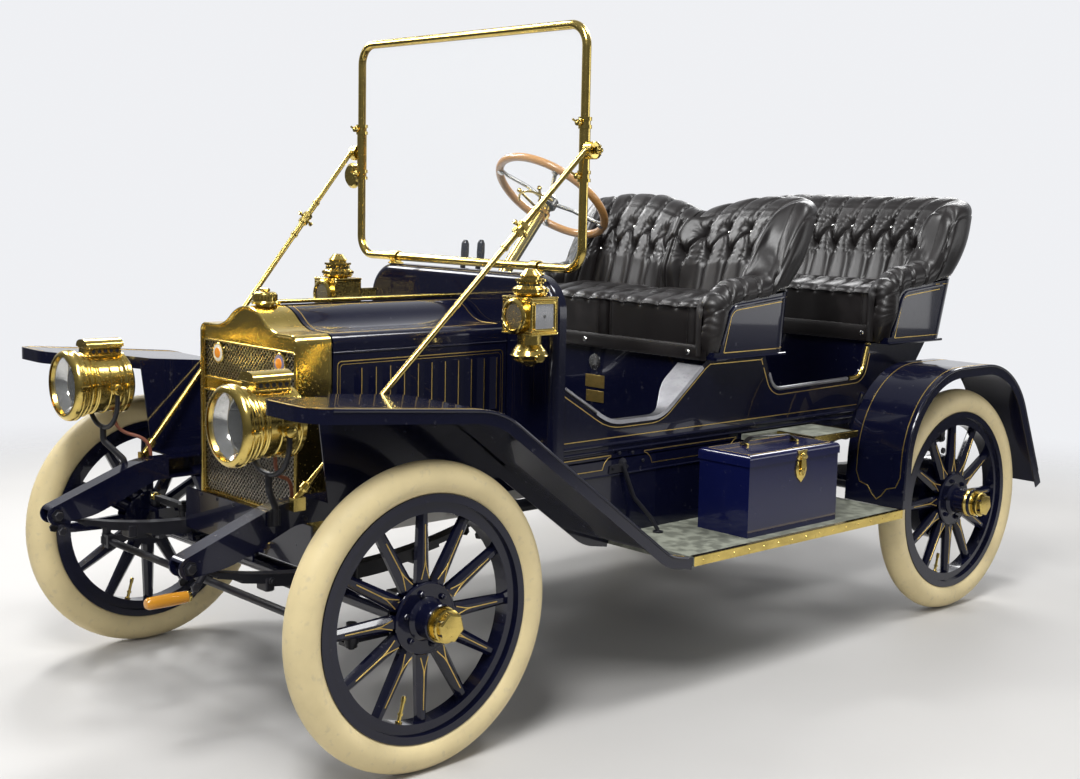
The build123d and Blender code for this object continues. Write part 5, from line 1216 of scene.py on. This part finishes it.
class CAR_OT_body_trim(Operator):
    """Add the body's mouldings, doorway trims, gold lines and plates"""
    bl_idname = "car.body_trim"
    bl_label = "Body trim"

    def execute(self, context):
        width = context.scene.car_sizes.line_width / MM
        mould, gold, bright, tube = Form(), Form(), Form(), Form()
        for z, r in ((693, 6), (674, 4.5)):
            mould.tube([(BODY_SIDE, -456, z), (BODY_SIDE, 1150, z)], r, 10)
        gold.strip(fine([(BODY_SIDE, -450, 713), (BODY_SIDE, 1190, 713)], 80), LEFT, width)
        for first, last in ((-452, 470), (470, 1036)):
            gold.strip(doorway(BODY_SIDE, first, last, 20), LEFT, width)
        # two panels on the scooped apron under the doors, from rows of (how far inward, height)
        scoop = [(0, 661), (0, 657), (13, 652), (27, 639), (35, 620)]
        for y0, y1 in ((-640, -263), (-117, 317)):
            corners = [(448, y1 - inward, z) for inward, z in scoop]
            corners += [(448, y0 + inward, z) for inward, z in reversed(scoop)]
            gold.strip([*corners, corners[0]], LEFT, width * 0.9, 0.5)
        mould.tube([(448.5, -560, 600), (448.5, 758, 600)], 3.5, 8)
        # front doorway: ribbed bright tread over the edge, lipped on its outer side and wider to the rear
        outer = doorway(446, -330, 152)
        rows = []
        for i, b in enumerate(outer):
            before, after = beside(outer, i)
            u = Vector((0, -(after - before).z, (after - before).y)).normalized()
            wide = min(max((b.y + 60) / 150, 0), 1)
            a = b - Vector((30 + 76 * wide * wide * (3 - 2 * wide), 0, 0))
            ribs = [a + (b - a) * t / 12 + u * (3.6 if t % 2 else 2.6) for t in range(1, 12)]
            rows.append([a - u, a + u * 3, *ribs, b + u * 3, b + Vector(LEFT) - u * 9, b - u * 9])
        bright.grid(rows)
        bright.tube(doorway(441, -452, -310), 5.5, 10)
        bright.tube(doorway(437, 486, 930), 7, 10)
        tube.tube(doorway(437, 925, 1041), 7.5, 10)
        tube.turned([(0, 11), (4, 11), (5, 8), (5, 0)], (437, 1043, 926), UP, 16)
        mould.mirrored().piece("body_mouldings", ["coach paint"], "body_paint")
        gold.mirrored().piece("body_lines", ["gold line"], "body_paint")
        bright.mirrored().piece("doorway_treads", ["aluminium"], "body_paint", smooth=50)
        tube.mirrored().piece("rear_doorway_rails", ["polished brass"], "brass")

        plates = Form()
        y = Skin("front_seat_body").hit((0, -400, 860), REAR)[0].y
        plates.turned([(0, 27), (2.4, 27), (3.4, 24), (3.4, 0)], (-57, y, 869), FRONT, 28, 1)
        for x, z, half_x, half_z in ((-54, 803, 46, 22), (-52, 751, 43, 20)):
            plates.box((x - half_x, y - 2.5, z - half_z), (x + half_x, y + 1, z + half_z), 1.2)
            for aside in (7 - half_x, half_x - 7):
                plates.turned([(0, 3), (1.6, 2.2), (1.6, 0)], (x + aside, y - 2.4, z), FRONT, 8)
        plates.piece("seat_box_plates", ["gold line", "steel"], "brass")
        self.seats(width)
        self.dash()
        return {"FINISHED"}

    def seats(self, width):
        """Lines on the painted panels, the lower mouldings, and the leather valances with their studs."""
        gold, mould, leather = Form(), Form(), Form()
        for node, corners, y, back in (
                ("front_seat_body", [(182, 950), (218, 1082), (620, 1117), (700, 1117)], 128, 528),
                ("rear_seat_body", [(1118, 950), (1162, 1098), (1600, 1137), (1700, 1137)], 1064, 1456)):
            skin = Skin(node)
            top = fine(rounded([(BESIDE, a, b) for a, b in corners], [0, 40, 60, 0], 8), 14)
            edge = [p + Vector((0, -15 * (1 - min(i / 12, 1)) - 2, 13)) for i, p in enumerate(top)
                    if p.y < back - 40]
            line, _ = skin.drape(edge, RIGHT)
            mould.tube([p + Vector((0.5, 0, 0)) for p in line], 6.5, 10)
            low = fine([(BESIDE, corners[0][0], 950), (BESIDE, back - 60, 950)], 30)
            for line in ([p for p in top if p.y < back - 60], low):
                gold.strip(*skin.drape(line, RIGHT), width)
            # round the rear corner and across the back
            for z in (950, corners[2][1]):
                ways = [(math.sin(t), math.cos(t)) for t in (math.pi / 2 * i / 40 for i in range(41))]
                rays = [((560 * a, back - 90 + 560 * b, z), (-a, -b, 0)) for a, b in ways]
                gold.strip(*skin.met(rays), width)
            mould.tube(fine([(500, y + 14, 931), (500, back - 40, 931)], 40), 5, 8)
        for y, z0, z1 in ((130, 922, 972), (1066, 932, 992)):
            rows = []
            for t in range(9):
                turn = math.pi * t / 8
                z = (z0 + z1) / 2 + (z1 - z0) / 2 * math.cos(turn)
                depth = y + 8 - 9 * max(math.sin(turn), 0) ** 0.5 if 0 < t < 8 else y + 8
                rows.append([(470 * i / 40, depth, z + 0.8 * math.sin(i * 2.1)) for i in range(-40, 41)])
            leather.grid(rows)
            for x in (-392, -80, 392):
                leather.turned([(-1, 9), (1.5, 9), (4, 6.5), (5, 0)], (x, y - 1, (z0 + z1) / 2), FRONT, 18, 1)
        gold.mirrored().piece("seat_panel_lines", ["gold line"], "body_paint")
        mould.mirrored().piece("seat_base_mouldings", ["coach paint"], "body_paint")
        leather.piece("seat_valances", ["black leather", "steel"], "leather")

    def dash(self):
        """Wing bolts and hinges of the screen, its feet on the dash, the mirror."""
        trim, glass = Form(), Form()
        y = SCREEN_Y
        for sign in (-1, 1):
            post, pivot = sign * 533, sign * 563
            for z in (1478, 1500, 1626, 1648):
                trim.turned([(-5, 17), (-5, 19.5), (5, 19.5), (5, 17)], (post, y, z), UP, 24)
            for z in (1490, 1637):
                trim.turned([(0, 5), (24, 5), (24, 9), (32, 9), (33, 0)], (post, y, z), FRONT, 14)
                wing = [(post - 15, y - 34, z + 9), (post, y - 30, z), (post + 15, y - 34, z + 9)]
                trim.tube(rounded(wing, 6), 3.4, 8)
            trim.turned([(-16, 23), (-14, 25), (14, 25), (16, 23)], (pivot, y, 1561), LEFT, 28)
            trim.turned([(0, 8), (4, 11), (16, 11), (20, 7), (24, 7), (27, 0)], (pivot + sign * 14, y, 1561),
                        (sign, 0, 0), 20)
            trim.tube([(sign * 596, y, 1547), (sign * 590, y, 1561), (sign * 596, y, 1575)], 4, 8)
            # screen feet on the dash
            x = sign * 340
            trim.box((x - 20, y - 18, 1203), (x + 20, y + 18, 1209), 2)
            trim.turned([(0, 16), (8, 16), (8, 0)], (x - 8, y, 1227), LEFT, 20)
            trim.turned([(-16, 16.5), (-16, 18.5), (16, 18.5), (16, 16.5)], (x, y, 1227), LEFT, 24)
            for sx in (-13, 13):
                trim.turned([(0, 4.5), (2.4, 4), (3, 0)], (x + sx, y - 12, 1209), UP, 10)
            # adjusting union of the stay
            top, foot = Vector((pivot, -508, 1561)), Vector((sign * 404, -1352, 652))
            along = (foot - top).normalized()
            middle = top + along * 300
            half = [(-74, 8.5), (-74, 11.5), (-66, 11.5), (-66, 9.5), (-20, 9.5), (-20, 13.5)]
            trim.turned(half + [(-a, b) for a, b in reversed(half)], middle, along, 20)
            trim.turned([(-18, 16), (-6, 16), (-6, 13)], middle, along, 6)
            trim.turned([(6, 13), (6, 16), (18, 16)], middle, along, 6)
            across = Vector((0, -along.z, along.y)).normalized()
            trim.tube([middle - across * 26, middle + across * 26], 4, 8)
            for end in (-1, 1):
                trim.turned([(0, 4), (2, 7), (8, 7), (10, 0)], middle + across * 22 * end, across * end, 12)
            trim.turned([(0, 8.4), (6, 14), (22, 14), (28, 8.4)], foot - along * 60, along, 20)
        # round mirror on the far post
        spot = Vector((-597, y + 6, 1486))
        trim.tube(rounded([(-548, y, 1520), (-575, y, 1520), (-590, y, 1500)], 12), 5, 8)
        trim.turned([(-8, 0), (-7, 34), (0, 42), (5, 43), (7, 41), (7, 38)], spot, (0, 1, 0.05), 36)
        glass.turned([(5.5, 39), (6, 0)], spot, (0, 1, 0.05), 36)
        trim.piece("screen_fittings", ["polished brass"], "brass")
        glass.piece("mirror_glass", ["silver"], "brass")


class CAR_OT_fender_trim(Operator):
    """Line and bead the fenders, edge the boards in brass and add their stays and the tool box's fittings"""
    bl_idname = "car.fender_trim"
    bl_label = "Fenders and boards"

    def execute(self, context):
        width = context.scene.car_sizes.line_width / MM
        gold, bead, edge = Form(), Form(), Form()
        front = Skin("front_fenders")
        for first, last, step, wide in (((780, -1560), (780, -290), 16, width),
                                        ((767, -1553), (767, -312), 16, width * 0.6),
                                        ((478, -1553), (780, -1553), 20, width)):
            gold.strip(*front.drape(fine([(*first, ABOVE), (*last, ABOVE)], step), DOWN), wide)
        line, _ = front.drape(fine([(794, -1564, ABOVE), (794, -290, ABOVE)], 16), DOWN)
        bead.tube([p + Vector((0.5, 0, -3)) for p in line], 4.5, 8)
        rear = Skin("rear_fenders")

        def over(x, first, last, count=70):
            angles = [math.radians(first + (last - first) * i / count) for i in range(count + 1)]
            return rear.met([((x, AXLES["rear"] - 900 * math.cos(t), 420 + 900 * math.sin(t)),
                              (0, math.cos(t), -math.sin(t))) for t in angles])

        for x in (776, 600):
            gold.strip(*over(x, 14, 172), width * 1.3, 0.6)
        # the lines meet in a bracket at the fender's foot
        foot = [(776, 0), (760, -34), (726, -44), (706, -70), (688, -84), (670, -70), (650, -44), (616, -34),
                (600, 0)]
        low = over(688, 14, 15, 1)[0][0].z
        gold.strip(*rear.met([((x, 500, low + z), REAR) for x, z in foot]), width * 1.3, 0.6)
        line, up = over(794, 4, 176)
        bead.tube([p - n * 3 for p, n in zip(line, up)], 4.5, 8)
        gold.mirrored().piece("fender_lines", ["gold line"], "fender_paint")
        bead.mirrored().piece("fender_beads", ["coach paint"], "fender_paint")

        # brass angle round the board's outer edge and the step
        y0, y1, z = -266, 770, 417
        section = [(-14, 1.6), (1.6, 1.6), (2.6, 0), (2.6, -27), (0, -27)]
        edge.grid([[(BOARD_EDGE + a, y, z + b) for a, b in section] for y in (y0, y1)])
        for i in range(15):
            screw = (BOARD_EDGE + 2.4, y0 + 40 + i * 68, z - 14)
            edge.turned([(0, 3.2), (1.4, 2.4), (1.6, 0)], screw, LEFT, 8)
        corners = [(482, 487), (636, 487), (636, 723), (449, 723)]
        for first, last in zip(corners, corners[1:]):
            out = (Vector((*last, 0)) - Vector((*first, 0))).normalized().cross(Vector(UP))
            edge.grid([[Vector((*end, 668)) + out * a * 0.8 + Vector((0, 0, b * 0.72)) for a, b in section]
                       for end in (first, last)])
        edge.mirrored().piece("board_edges", ["polished brass"], "brass", smooth=20)

        stay = Form()
        line = rounded([(452, -214, 632), (458, -211, 610), (469, -180, 526), (497, -132, 462),
                        (516, -119, 424)], [0, 20, 60, 40, 0], 8)
        stay.tube(line, 6.5, 10)
        stay.turned([(0, 17), (3, 17), (6, 11), (8, 8), (8, 0)], (448, -214, 632), LEFT, 16)
        outline = [(-272, 606), (-198, 606), (-190, 622), (-206, 634), (-268, 630)]
        stay.plate([(448.5, y, z) for y, z in outline], (4, 0, 0), inset=1.5)
        stay.turned([(0, 16), (4, 16), (6, 10), (6, 0)], (516, -119, 417.5), UP, 16)
        for y, z in ((-259, 619), (-227, 665), (-170, 661), (-124, 632)):
            stay.turned([(0, 6), (3, 6), (4.5, 4), (4.5, 0)], (448, y, z), LEFT, 6)
        stay.mirrored().piece("board_stays", ["painted iron"], "iron")
        self.tool_box(width)
        return {"FINISHED"}

    def tool_box(self, width):
        gold, hasp, strap = Form(), Form(), Form()
        corners = [(556, 50, 669), (726, 50, 669), (726, 458, 669), (556, 458, 669)]
        gold.strip(ring(corners, 14), UP, width * 0.8, closed=True)
        gold.piece("tool_box_line", ["gold line"], "body_paint", "tool_box_lid")
        outline = [(258, 664), (262, 652), (254, 640), (262, 634), (302, 634), (310, 640), (302, 652),
                   (306, 664)]
        hasp.plate([(745, y, z) for y, z in outline], (4, 0, 0), inset=3)
        hasp.turned([(0, 11), (3, 11), (8, 7), (9, 0)], (748, 282, 646), LEFT, 20)
        hasp.box((747, 272, 604), (756, 292, 650), 3)
        hasp.piece("tool_box_hasp", ["polished brass"], "brass", "tool_box_lid", smooth=25)
        lock = Form()
        outline = [(260, 630), (304, 630), (310, 604), (302, 580), (282, 562), (262, 580), (254, 604)]
        lock.plate([(741, y, z) for y, z in outline], (5, 0, 0), inset=4)
        lock.turned([(0, 13), (4, 13), (6, 9), (6, 0)], (745, 282, 596), LEFT, 20)
        lock.box((750, 278, 586), (753, 286, 600), 1.5)
        lock.piece("tool_box_lock", ["polished brass"], "brass", smooth=25)
        line = rounded([(600, 172, 671), (600, 180, 678), (604, 200, 692), (640, 345, 692), (644, 365, 678),
                        (644, 373, 671)], [0, 5, 22, 22, 5, 0], 8)
        section = [(-11, 0), (-10, 2.6), (0, 4), (10, 2.6), (11, 0), (0, -1)]
        rows = []
        for i, p in enumerate(line):
            before, after = beside(line, i)
            ahead = (after - before).normalized()
            side = ahead.cross(Vector(UP)).normalized()
            rows.append([p + side * a + side.cross(ahead) * b for a, b in section])
        strap.grid(rows, around=True, capped=True)
        for x, y in ((600, 176), (644, 369)):
            strap.box((x - 15, y - 6, 669), (x + 15, y + 6, 677), 1.5, 1)
        strap.piece("tool_box_handle", ["black leather", "polished brass"], "leather", "tool_box_lid")


class CAR_OT_controls(Operator):
    """Finish the steering wheel, the hand levers and the starting handle"""
    bl_idname = "car.controls"
    bl_label = "Controls"

    def execute(self, context):
        centre, foot, side = Vector(STEERING_TOP), Vector(STEERING_FOOT), Vector(LEFT)
        up = (centre - foot).normalized()
        back = up.cross(side)

        def around(turn):
            return side * math.cos(turn) + back * math.sin(turn)

        wheel = Form()
        for turn in turns(4, 0.5):
            way = around(turn)
            bends = ((22, 22), (90, 10), (170, 9), (196, 3))
            line = rounded([centre + way * out - up * drop for out, drop in bends], [0, 60, 40, 0])
            wheel.tube(line, 7, 10)
            wheel.turned([(0, 12), (3, 12), (5, 8), (5, 0)], centre + way * 196 - up * 12, -up, 12)
        wheel.turned([(-42, 30), (-38, 34), (-12, 34), (-6, 27), (-2, 24), (2, 18), (4, 0)], centre, up, 32)
        wheel.piece("steering_spider", ["steel"], "wood", "steering_wheel", replaces=("steering_wheel",))
        grip = Form()
        grip.tube([centre + around(t) * 205 for t in turns(64)], 14, 14, closed=True)
        grip.piece("steering_rim", ["varnished wood"], "wood", "steering_wheel", replaces=("steering_wheel",))
        sector = Form()
        sector.turned([(-78, 22), (-78, 30), (-66, 30), (-60, 24), (-52, 24)], centre, up, 28)
        for degrees, reach in ((-60, 120), (-120, 105)):
            way = around(math.radians(degrees))
            end = centre - up * 50 + way * reach
            line = [centre - up * 68 + way * 20, centre - up * 60 + way * reach * 0.6, end]
            sector.tube(rounded(line, 30), 4.5, 8)
            sector.turned([(-8, 0), (-7, 6), (0, 8.5), (7, 6), (8, 0)], end, way, 14)
        arc = [around(math.radians(8 * i - 150)) for i in range(16)]
        sector.tube([centre - up * 58 + way * 96 for way in arc], 4, 8)
        sector.piece("throttle_levers", ["polished brass"], "brass")

        levers = Form()
        for y, lean in ((-150, -30), (-90, -20)):
            levers.turned([(-14, 9.5), (-10, 12), (30, 14), (60, 13), (72, 8), (74, 0)],
                          (-360, y + lean, 1205), (0, 0.05, 1), 18)
        levers.piece("lever_grips", ["coach paint"], "iron")
        crank = Form()
        crank.turned([(0, 12), (2, 15), (8, 16.2), (30, 17.4), (60, 18), (96, 17.4), (117, 16.6), (124, 12),
                      (126, 0)], (0, -1430, HANDLE_Z), FRONT, 24)
        crank.piece("crank_grip", ["amber enamel"], "wood", "starting_crank")
        collar = Form()
        collar.turned([(0, 10), (0, 15.5), (6, 16.5), (10, 13), (12, 10)], (0, -1424, HANDLE_Z), FRONT, 20)
        collar.turned([(0, 10), (0, 14), (8, 14), (10, 10)], (0, -1318, CRANK_Z), FRONT, 20)
        collar.piece("crank_collars", ["polished brass"], "iron", "starting_crank")
        return {"FINISHED"}


# Running gear

NUT = [(0, 9), (6, 9), (7, 7.5), (7, 5), (11, 5), (12, 3.5), (12, 0)]
DOME = [(-0.5, 6), (1.5, 5.4), (3, 3.2), (3.6, 0)]
SPRING_X = 369


class CAR_OT_chassis(Operator):
    """Add the springs' clips and bolts, the rivets, the grease cups and the axle case's flange"""
    bl_idname = "car.chassis"
    bl_label = "Running gear"

    def execute(self, context):
        iron, cups = Form(), Form()
        x = SPRING_X
        for y, seat, top, rise, half in ((AXLES["front"], 414, 467, 62, 446),
                                         (AXLES["rear"], 432, 493, 40, 450)):
            for dy in (y - 28, y + 28):
                bends = ((-25, seat - 22), (-25, top + 5), (25, top + 5), (25, seat - 22))
                iron.tube(rounded([(x + dx, dy, z) for dx, z in bends], 14), 5, 8)
                for dx in (-25, 25):
                    iron.turned(NUT, (x + dx, dy, seat - 14), DOWN, 6)
            iron.box((x - 34, y - 38, seat - 14), (x + 34, y + 38, seat - 9), 2)
            for end in (-1, 1):
                clip, low = y + end * half * 0.52, seat + rise * 0.27
                iron.box((x - 24, clip - 13, low - 5), (x + 24, clip + 13, low + 31), 3)
                iron.turned(NUT, (x + 24, clip, low + 24), LEFT, 6)
                for dx in (-1, 1):
                    eye = (x + dx * 27, y + end * half, seat + rise)
                    iron.turned([(0, 13), (6, 13), (8, 10), (8, 0)], eye, (dx, 0, 0), 6)
        for sign, x in ((1, 396), (-1, 342)):
            iron.turned([(0, 19), (3, 19), (3, 14), (11, 14), (13, 11), (13, 0)], (x, -1640, 522),
                        (sign, 0, 0), 6)
        for z in (600, 638):
            for i in range(9):
                iron.turned(DOME, (396, -1395 + 84 * i, z), LEFT, 10)
        for i in range(7):
            iron.turned(DOME, (396, 900 + 100 * i, 638), LEFT, 10)
        for x in (60, 150, 240):
            iron.turned(DOME, (x, -1252, 552), FRONT, 10)
        iron.mirrored()
        y = AXLES["rear"]
        iron.turned([(-7, 134), (-7, 147), (7, 147), (7, 134)], (0, y, AXLE_Z), LEFT, 48)
        for turn in turns(12, 0.5):
            iron.turned(NUT, (7, y + 140.5 * math.cos(turn), AXLE_Z + 140.5 * math.sin(turn)), LEFT, 6)
        iron.turned([(0, 26), (8, 26), (10, 22), (10, 0)], (0, y + 149, AXLE_Z), REAR, 24)
        iron.piece("chassis_bolts", ["painted iron"], "iron")
        cups.turned([(0, 27), (5, 29), (10, 27), (10, 24)], (0, -1302, CRANK_Z), FRONT, 28)
        cups.piece("crank_bearing_ring", ["polished brass"], "brass")
        cap = [(-6, 15.6), (-4, 17), (7, 17), (9, 15), (11, 9), (14, 8), (15, 0)]
        small = [(0, 7), (4, 7), (5, 10), (13, 10), (15, 7), (16, 0)]
        for side, sign in (("left", 1), ("right", -1)):
            brass_cups = Form()
            brass_cups.turned(cap, (sign * 652, AXLES["front"], 466), UP, 8)
            brass_cups.turned(small, (sign * 674, AXLES["front"], 400), (sign, 0, 0), 8)
            brass_cups.piece(f"grease_cups_{side}", ["polished brass"], "iron", f"knuckle_{side}")
        return {"FINISHED"}


# Hoses and the panel

HOSE_POINTS = [(432, -1424, 778), (432, -1424, 762.1), (427.5, -1417.3, 739.6), (416.3, -1400.5, 723.1),
               (391.7, -1363.5, 710.9), (380.5, -1346.7, 694.4), (376, -1340, 671.9), (376, -1340, 656)]


class CAR_OT_gas_hoses(Operator):
    """Lay the gas hoses from the headlamps to the pipes on the frame"""
    bl_idname = "car.gas_hoses"
    bl_label = "Gas hoses"

    def execute(self, context):
        for side, node in ((1, "hose_left"), (-1, "hose_right")):
            line = bpy.data.curves.new(f"gas_{node}", "CURVE")
            line.dimensions = "3D"
            line.bevel_depth, line.bevel_resolution, line.use_fill_caps = 0.005, 4, True
            spline = line.splines.new("NURBS")
            spline.points.add(len(HOSE_POINTS) - 1)
            for point, (x, y, z) in zip(spline.points, HOSE_POINTS):
                point.co = (*at(side * x, y, z), 1)
            spline.order_u, spline.use_endpoint_u, spline.resolution_u = 3, True, 8
            line.materials.append(bpy.data.materials["hose rubber"])
            piece = bpy.data.objects.new(f"gas_{node}", line)
            context.scene.collection.objects.link(piece)
            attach(piece, "chassis")
            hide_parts(node)
            x, y, z = HOSE_POINTS[0]
            at(side * x, y, z)
        return {"FINISHED"}


STEPS = [CAR_OT_finishes, CAR_OT_stage, CAR_OT_wheels, CAR_OT_seats, CAR_OT_radiator, CAR_OT_bonnet,
         CAR_OT_lamps, CAR_OT_body_trim, CAR_OT_fender_trim, CAR_OT_controls, CAR_OT_chassis,
         CAR_OT_gas_hoses]


class CAR_PT_panel(Panel):
    """List the steps that build the car, its colours and its sizes"""
    bl_idname = "CAR_PT_panel"
    bl_label = "Touring car"
    bl_space_type = "VIEW_3D"
    bl_region_type = "UI"
    bl_category = "Touring car"

    def draw(self, context):
        for step in STEPS:
            self.layout.operator(step.bl_idname)
        for group in (context.scene.car_colours, context.scene.car_sizes):
            for key in group.__annotations__:
                self.layout.prop(group, key)


CLASSES = [CarColours, CarSizes, *STEPS, CAR_PT_panel]


def register():
    for item in CLASSES:
        bpy.utils.register_class(item)
    bpy.types.Scene.car_colours = PointerProperty(type=CarColours)
    bpy.types.Scene.car_sizes = PointerProperty(type=CarSizes)


def unregister():
    del bpy.types.Scene.car_colours, bpy.types.Scene.car_sizes
    for item in reversed(CLASSES):
        bpy.utils.unregister_class(item)


def main():
    register()
    for step in STEPS:
        getattr(bpy.ops.car, step.bl_idname.split(".")[1])()


if __name__ == "__main__":
    main()
